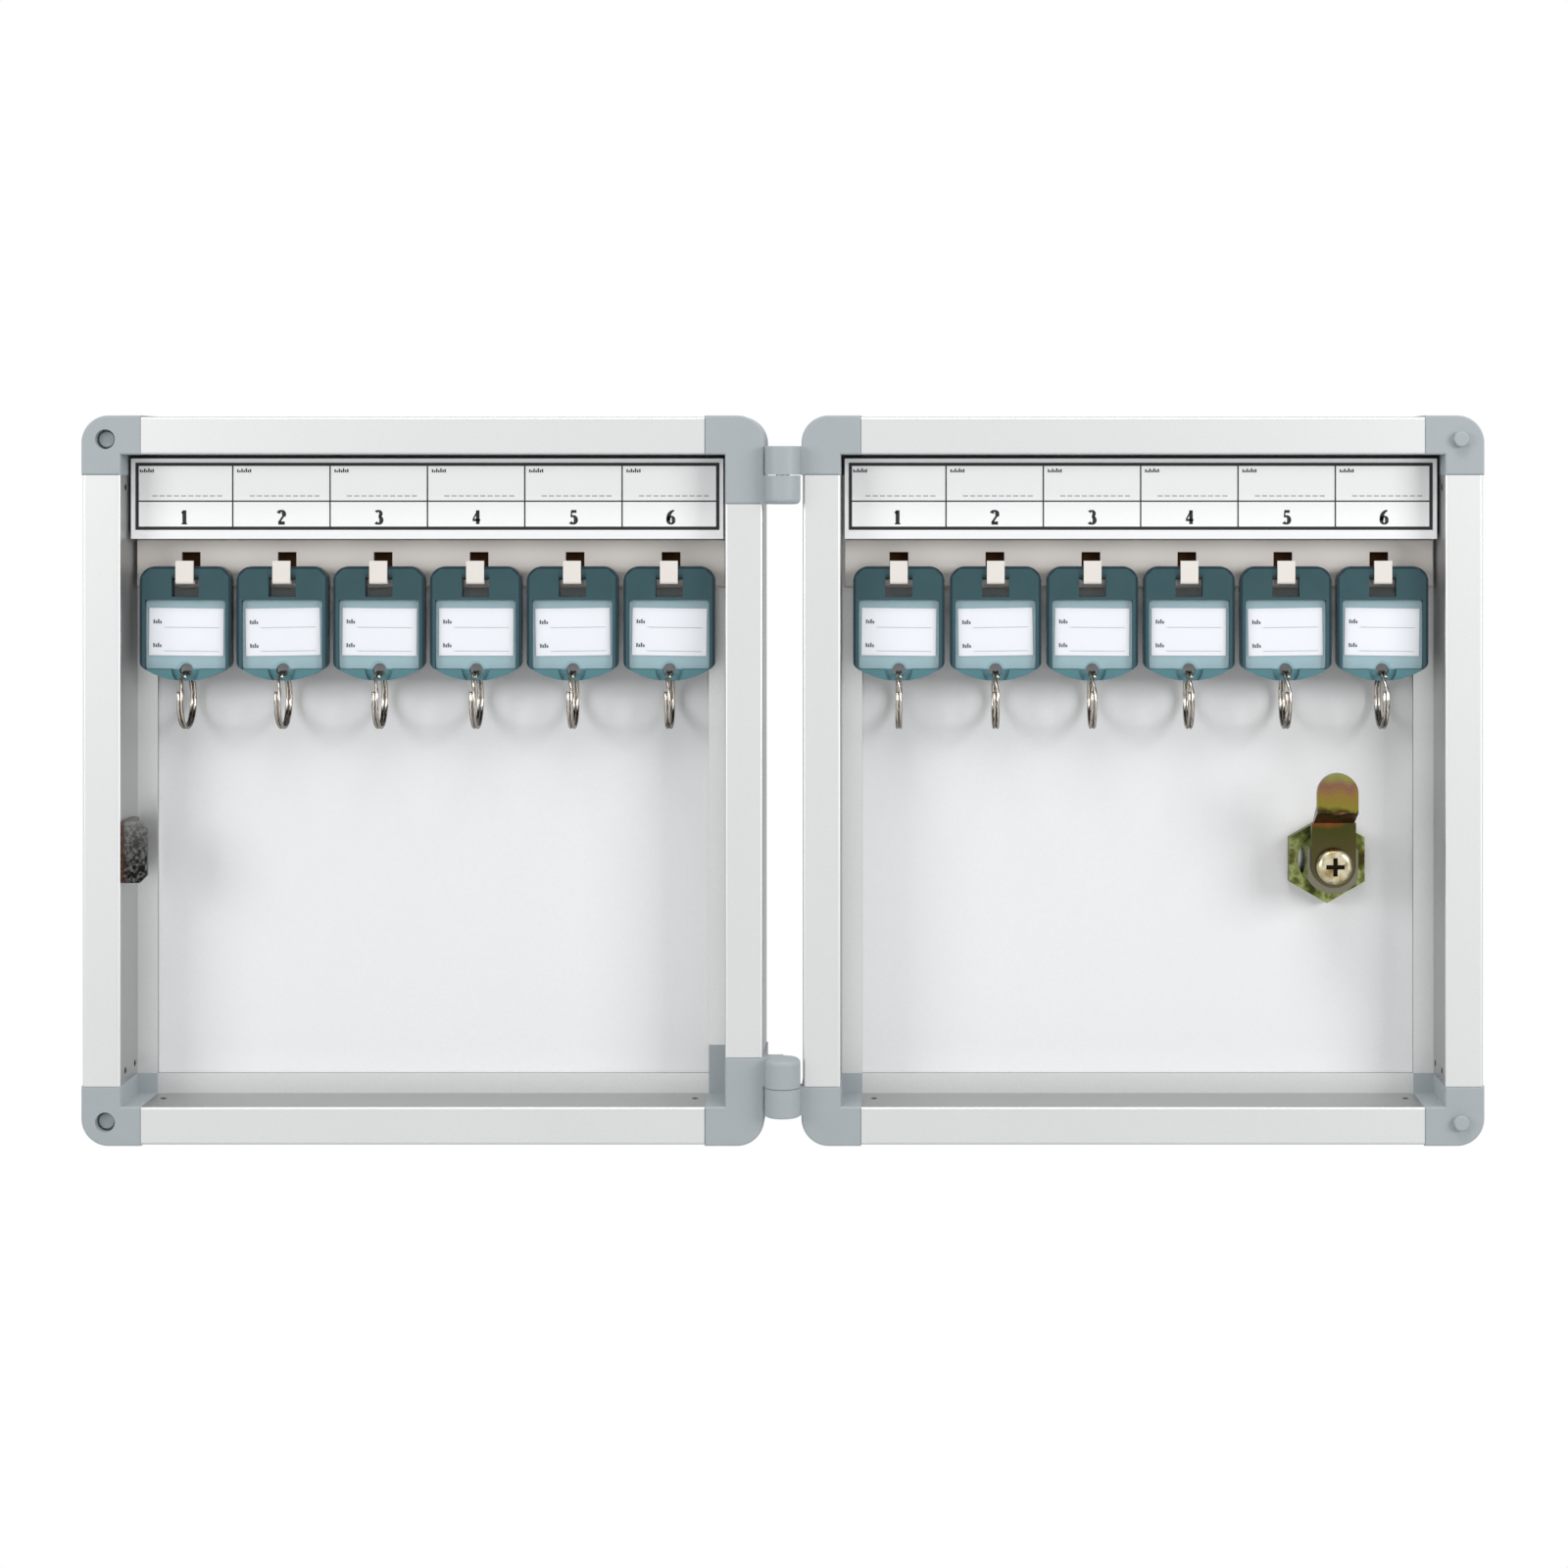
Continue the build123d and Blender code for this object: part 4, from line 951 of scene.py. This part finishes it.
def print_lines(tray):
    """Black border, cell lines, numbers and captions of one label strip."""
    across, down, face = card_window(tray)
    depth = (face - sizes().ink / MM, face)
    border, line = sizes().border_line / MM, sizes().cell_line / MM
    low, high = down
    bm = bmesh.new()
    for z in ((low, low + border), (high - border, high)):
        add_bar(bm, across, depth, z)
    for x in ((across[0], across[0] + border), (across[1] - border, across[1])):
        add_bar(bm, x, depth, (low + border, high - border))
    divide = low + border + sizes().number_row / MM
    inner = (across[0] + border, across[1] - border)
    add_bar(bm, inner, depth, (divide, divide + line))
    cell = (across[1] - across[0]) / HOOKS
    for index in range(HOOKS):
        left = across[0] + cell * index
        if index:
            add_bar(bm, (left - line / 2, left + line / 2), depth, (low + border, divide))
            add_bar(bm, (left - line / 2, left + line / 2), depth, (divide + line, high - border))
        middle = left + cell / 2
        add_numeral(bm, index + 1, middle, low + border + NUMERAL_FOOT, depth[0])
        place = (left + border + CAPTION_INSET, high - border - CAPTION_DROP)
        add_caption(bm, *place, depth, CAPTION_HEIGHTS)
    bmesh.ops.recalc_face_normals(bm, faces=bm.faces)
    return bm


def print_dashes(tray):
    """The broken grey writing line above the numbers of one label strip."""
    across, down, face = card_window(tray)
    depth = (face - sizes().ink / MM, face)
    divide = down[0] + (sizes().border_line + sizes().number_row) / MM
    cell = (across[1] - across[0]) / HOOKS
    bm = bmesh.new()
    for index in range(HOOKS):
        start = across[0] + cell * index + DASHES_START
        pitch = (cell - DASHES_START - DASHES_END) / DASHES
        for dash in range(DASHES):
            left = start + pitch * dash
            rise = [divide + height for height in DASH_RISE]
            add_bar(bm, (left, left + pitch * DASH_SHARE), depth, rise)
    return bm


class KEYBOX_OT_label_prints(bpy.types.Operator):
    """Print the border, cells, hook numbers and writing lines on both label cards"""

    bl_idname = "key_box.label_prints"
    bl_label = "Label prints"

    def execute(self, context):
        dark, pale = plain_finish("print_ink"), plain_finish("pale_print")
        for tray in TRAYS:
            new_piece(print_lines(tray), f"{tray}_label_print", tray, [dark])
            new_piece(print_dashes(tray), f"{tray}_label_dashes", tray, [pale])
        return {"FINISHED"}


def add_gap_shade_strip(tray, felt):
    """A black strip of painted shade that closes the gap between the top rail and the label holder."""
    low, high = box_mm(f"{tray}_label_holder")
    foot = high.z + CLEARANCE
    bm = bmesh.new()
    add_bar(bm, (low.x, high.x), (low.y, low.y + sizes().felt / MM), (foot, foot + sizes().felt_rise / MM))
    new_piece(bm, f"{tray}_gap_felt", tray, [felt])


# How far the dark brown strip of painted shade keeps inside the hook rail's outline, and its rounding, in
# millimetres
WINDOW_SHADE_INSET_X = 3
WINDOW_SHADE_INSET_Z = 2
WINDOW_SHADE_EDGE = 0.3


class KEYBOX_OT_window_shades(bpy.types.Operator):
    """Lay a dark brown strip of painted shade behind each hook rail, where it shows in the windows, and a
    black strip of painted shade over each holder
    """

    bl_idname = "key_box.rail_tapes"
    bl_label = "Rail tapes and felt"

    def execute(self, context):
        dark_brown, felt = plain_finish("foam_tape"), plain_finish("black_felt")
        for tray in TRAYS:
            low, high = box_mm(f"{tray}_hook_rail")
            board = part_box(f"{tray}_panel")[0].y / MM
            bm = bmesh.new()
            across = (low.x + WINDOW_SHADE_INSET_X, high.x - WINDOW_SHADE_INSET_X)
            down = (low.z + WINDOW_SHADE_INSET_Z, high.z - WINDOW_SHADE_INSET_Z)
            add_bar(bm, across, (board - sizes().tape / MM, board), down)
            bmesh.ops.bevel(bm, geom=bm.edges, affect="EDGES", offset=WINDOW_SHADE_EDGE, segments=2, profile=0.5,
                            material=-1)
            new_piece(bm, f"{tray}_rail_tape", tray, [dark_brown])
            add_gap_shade_strip(tray, felt)
        return {"FINISHED"}


TAG_TONES = ("tag_plastic", "tag_edge", "tag_floor", "tag_foot", "tag_side")
# The directions, in degrees, in which a tag's plate has a rim of painted shade
RIM_TURNS = (0, 45, 90, 135, 180)
# A tag's pocket, in millimetres: its top below the tag's, its foot above the tag's, half its width, its depth
POCKET_DROP = 9.5
POCKET_RISE = 3.4
POCKET_HALF = 11.7
POCKET_DEPTH = 0.8
# The angles by which a paper may turn and between one tag's turn and the next, in degrees and in radians
PAPER_TURN = 0.9
PAPER_PHASE = 2.3
# A paper's print, in millimetres from its top, left and right
CAPTION_LINES = (4.6, 11.6)
CAPTION_LEFT = 1.2
INSERT_CAPTION = (1.2, 0.9, 1.3, 0.8)
INSERT_PITCH = 0.66
INSERT_MARK = 0.5
LINE_LEFT = 4.4
LINE_RIGHT = 1.3
LINE_DROP = (1.2, 0.95)
COVER_SOFTNESS = 0.7


def extent(bm):
    """The lowest and the highest corner of a bmesh."""
    return [Vector([pick(vertex.co[axis] for vertex in bm.verts) for axis in range(3)])
            for pick in (min, max)]


def islands(bm):
    """The separate solids of a bmesh as lists of faces, the largest first."""
    left = set(bm.faces)
    found = []
    while left:
        group, edge = set(), {left.pop()}
        while edge:
            group |= edge
            edge = {near for face in edge for line in face.edges for near in line.link_faces} - group
        left -= group
        found.append(group)
    return sorted(found, key=lambda faces: -sum(face.calc_area() for face in faces))


def tag_solids(node):
    """Merged copies of a tag's tray, cover and paper, in millimetres."""
    parts = []
    for keep in range(3):
        bm = bmesh.new()
        bm.from_mesh(frame["nodes"][node].data)
        bmesh.ops.scale(bm, vec=(1 / MM, 1 / MM, 1 / MM), verts=bm.verts)
        bmesh.ops.remove_doubles(bm, verts=bm.verts, dist=0.002)
        for index, faces in enumerate(islands(bm)):
            if index != keep:
                bmesh.ops.delete(bm, geom=list(faces), context="FACES")
        bmesh.ops.dissolve_limit(bm, angle_limit=radians(1), verts=bm.verts, edges=bm.edges)
        parts.append(bm)
    return parts


def tone_tag_tray(bm):
    """Give the tray's faces their tone: top plate, painted shade on the moulded edge and the rim round the
    plate, thin pocket floor and foot.
    """
    low, high = extent(bm)
    middle_x = (low.x + high.x) / 2
    pocket_top, pocket_foot = high.z - POCKET_DROP, low.z + POCKET_RISE
    outwards = [Vector((cos(radians(turn)), 0, sin(radians(turn)))) for turn in RIM_TURNS]
    rims = [(way, max(vertex.co.dot(way) for vertex in bm.verts) - sizes().tag_rim / MM) for way in outwards]
    for place, normal in (
        ((0, 0, pocket_top), (0, 0, 1)),
        ((0, 0, pocket_foot), (0, 0, 1)),
        ((middle_x - POCKET_HALF, 0, 0), (1, 0, 0)),
        ((middle_x + POCKET_HALF, 0, 0), (1, 0, 0)),
        *((way * reach, way) for way, reach in rims),
    ):
        geometry = [*bm.verts, *bm.edges, *bm.faces]
        bmesh.ops.bisect_plane(bm, geom=geometry, dist=0.0001, plane_co=place, plane_no=normal)
    for face in bm.faces:
        middle, ahead = face.calc_center_median(), face.normal.y < 0
        in_rim = middle.z > pocket_foot and any(middle.dot(way) > reach for way, reach in rims)
        tone = "tag_plastic"
        if abs(face.normal.y) < 0.5 or in_rim:
            tone = "tag_edge"
        elif ahead and middle.z < pocket_foot:
            tone = "tag_foot"
        elif ahead and middle.z < pocket_top and middle.y > low.y + POCKET_DEPTH:
            tone = "tag_floor"
        elif ahead and middle.z < pocket_top and abs(middle.x - middle_x) > POCKET_HALF:
            tone = "tag_side"
        face.material_index = TAG_TONES.index(tone)


def soften(piece, width_mm, material_index=-1):
    """Round a piece's sharp edges, in a material of their own where one is given."""
    bevel = piece.modifiers.new("soft edges", "BEVEL")
    bevel.width = width_mm * MM
    bevel.segments = 2
    bevel.limit_method = "ANGLE"
    bevel.angle_limit = radians(40)
    bevel.material = material_index


def print_insert(paper):
    """Two grey writing lines with a dark caption mark each, on a tag's paper."""
    low, high = extent(paper)
    depth = (low.y - sizes().ink / MM, low.y)
    marks, lines = bmesh.new(), bmesh.new()
    for below in CAPTION_LINES:
        foot = high.z - below
        add_caption(marks, low.x + CAPTION_LEFT, foot, depth, INSERT_CAPTION, INSERT_PITCH, INSERT_MARK)
        add_bar(lines, (low.x + LINE_LEFT, high.x - LINE_RIGHT), depth, [foot - drop for drop in LINE_DROP])
    return marks, lines


def settle(index, *flats):
    """Turn a paper and its print a little, by another angle in each tag."""
    low, high = extent(flats[0])
    centre = ((low.x + high.x) / 2, 0, (low.z + high.z) / 2)
    turn = Matrix.Rotation(radians(PAPER_TURN * sin(PAPER_PHASE * index)), 3, "Y")
    for bm in flats:
        bmesh.ops.rotate(bm, cent=centre, matrix=turn, verts=bm.verts)


class KEYBOX_OT_tags(bpy.types.Operator):
    """Make each key tag as a toned tray, a printed paper insert and a clear cover"""

    bl_idname = "key_box.tags"
    bl_label = "Key tags"

    def execute(self, context):
        tones = [
            tag_plastic("tag_plastic", colours().tag, 0.34),
            # The plastic in painted shade, for edges, sides and rim
            tag_plastic("tag_edge", colours().tag_edge, 0.3),
            tag_plastic("tag_floor", colours().tag_floor, 0.4),
            tag_plastic("tag_foot", colours().tag_foot, 0.34),
            tag_plastic("tag_side", colours().tag_side, 0.34),
        ]
        names = ("tag_paper", "print_ink", "pale_print")
        white, ink, pale = (plain_finish(name) for name in names)
        clear = clear_cover()
        for tray in TRAYS:
            for index in range(1, HOOKS + 1):
                node = f"{tray}_tag_{index}"
                body, cover, paper = tag_solids(node)
                tone_tag_tray(body)
                marks, lines = print_insert(paper)
                settle(index, paper, marks, lines)
                holder = new_piece(body, f"{node}_tray", node, tones)
                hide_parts(node)
                # The tags' rounded edges take the painted shade of tag_edge
                soften(holder, sizes().tag_edge / MM, material_index=TAG_TONES.index("tag_edge"))
                lens = new_piece(cover, f"{node}_cover", node, [clear])
                soften(lens, sizes().tag_edge / MM * COVER_SOFTNESS)
                new_piece(paper, f"{node}_paper", node, [white])
                new_piece(marks, f"{node}_marks", node, [ink])
                new_piece(lines, f"{node}_lines", node, [pale])
        return {"FINISHED"}


class KEYBOX_PT_panel(bpy.types.Panel):
    """The box's pieces, sizes and colours in the 3D view's sidebar"""

    bl_idname = "KEYBOX_PT_panel"
    bl_label = "Key box"
    bl_space_type = "VIEW_3D"
    bl_region_type = "UI"
    bl_category = "Key box"

    def draw(self, context):
        for operator in OPERATORS:
            self.layout.operator(operator.bl_idname)
        for values in (sizes(), colours(), studio()):
            box = self.layout.box()
            for name in values.__annotations__:
                box.prop(values, name)


OPERATORS = (
    KEYBOX_OT_stage,
    KEYBOX_OT_trays,
    KEYBOX_OT_label_prints,
    KEYBOX_OT_window_shades,
    KEYBOX_OT_tags,
    KEYBOX_OT_rings,
    KEYBOX_OT_lock,
)
GROUPS = {"key_box_sizes": KeyBoxSizes, "key_box_colours": KeyBoxColours, "key_box_studio": KeyBoxStudio}


def register():
    for item in (*GROUPS.values(), *OPERATORS, KEYBOX_PT_panel):
        bpy.utils.register_class(item)
    for name, group in GROUPS.items():
        setattr(bpy.types.Scene, name, PointerProperty(type=group))


def unregister():
    for name in GROUPS:
        delattr(bpy.types.Scene, name)
    for item in reversed((*GROUPS.values(), *OPERATORS, KEYBOX_PT_panel)):
        bpy.utils.unregister_class(item)


def main():
    register()
    bpy.ops.key_box.stage()
    bpy.ops.key_box.trays()
    bpy.ops.key_box.label_prints()
    bpy.ops.key_box.rail_tapes()
    bpy.ops.key_box.tags()
    bpy.ops.key_box.rings()
    bpy.ops.key_box.lock()


if __name__ == "__main__":
    main()
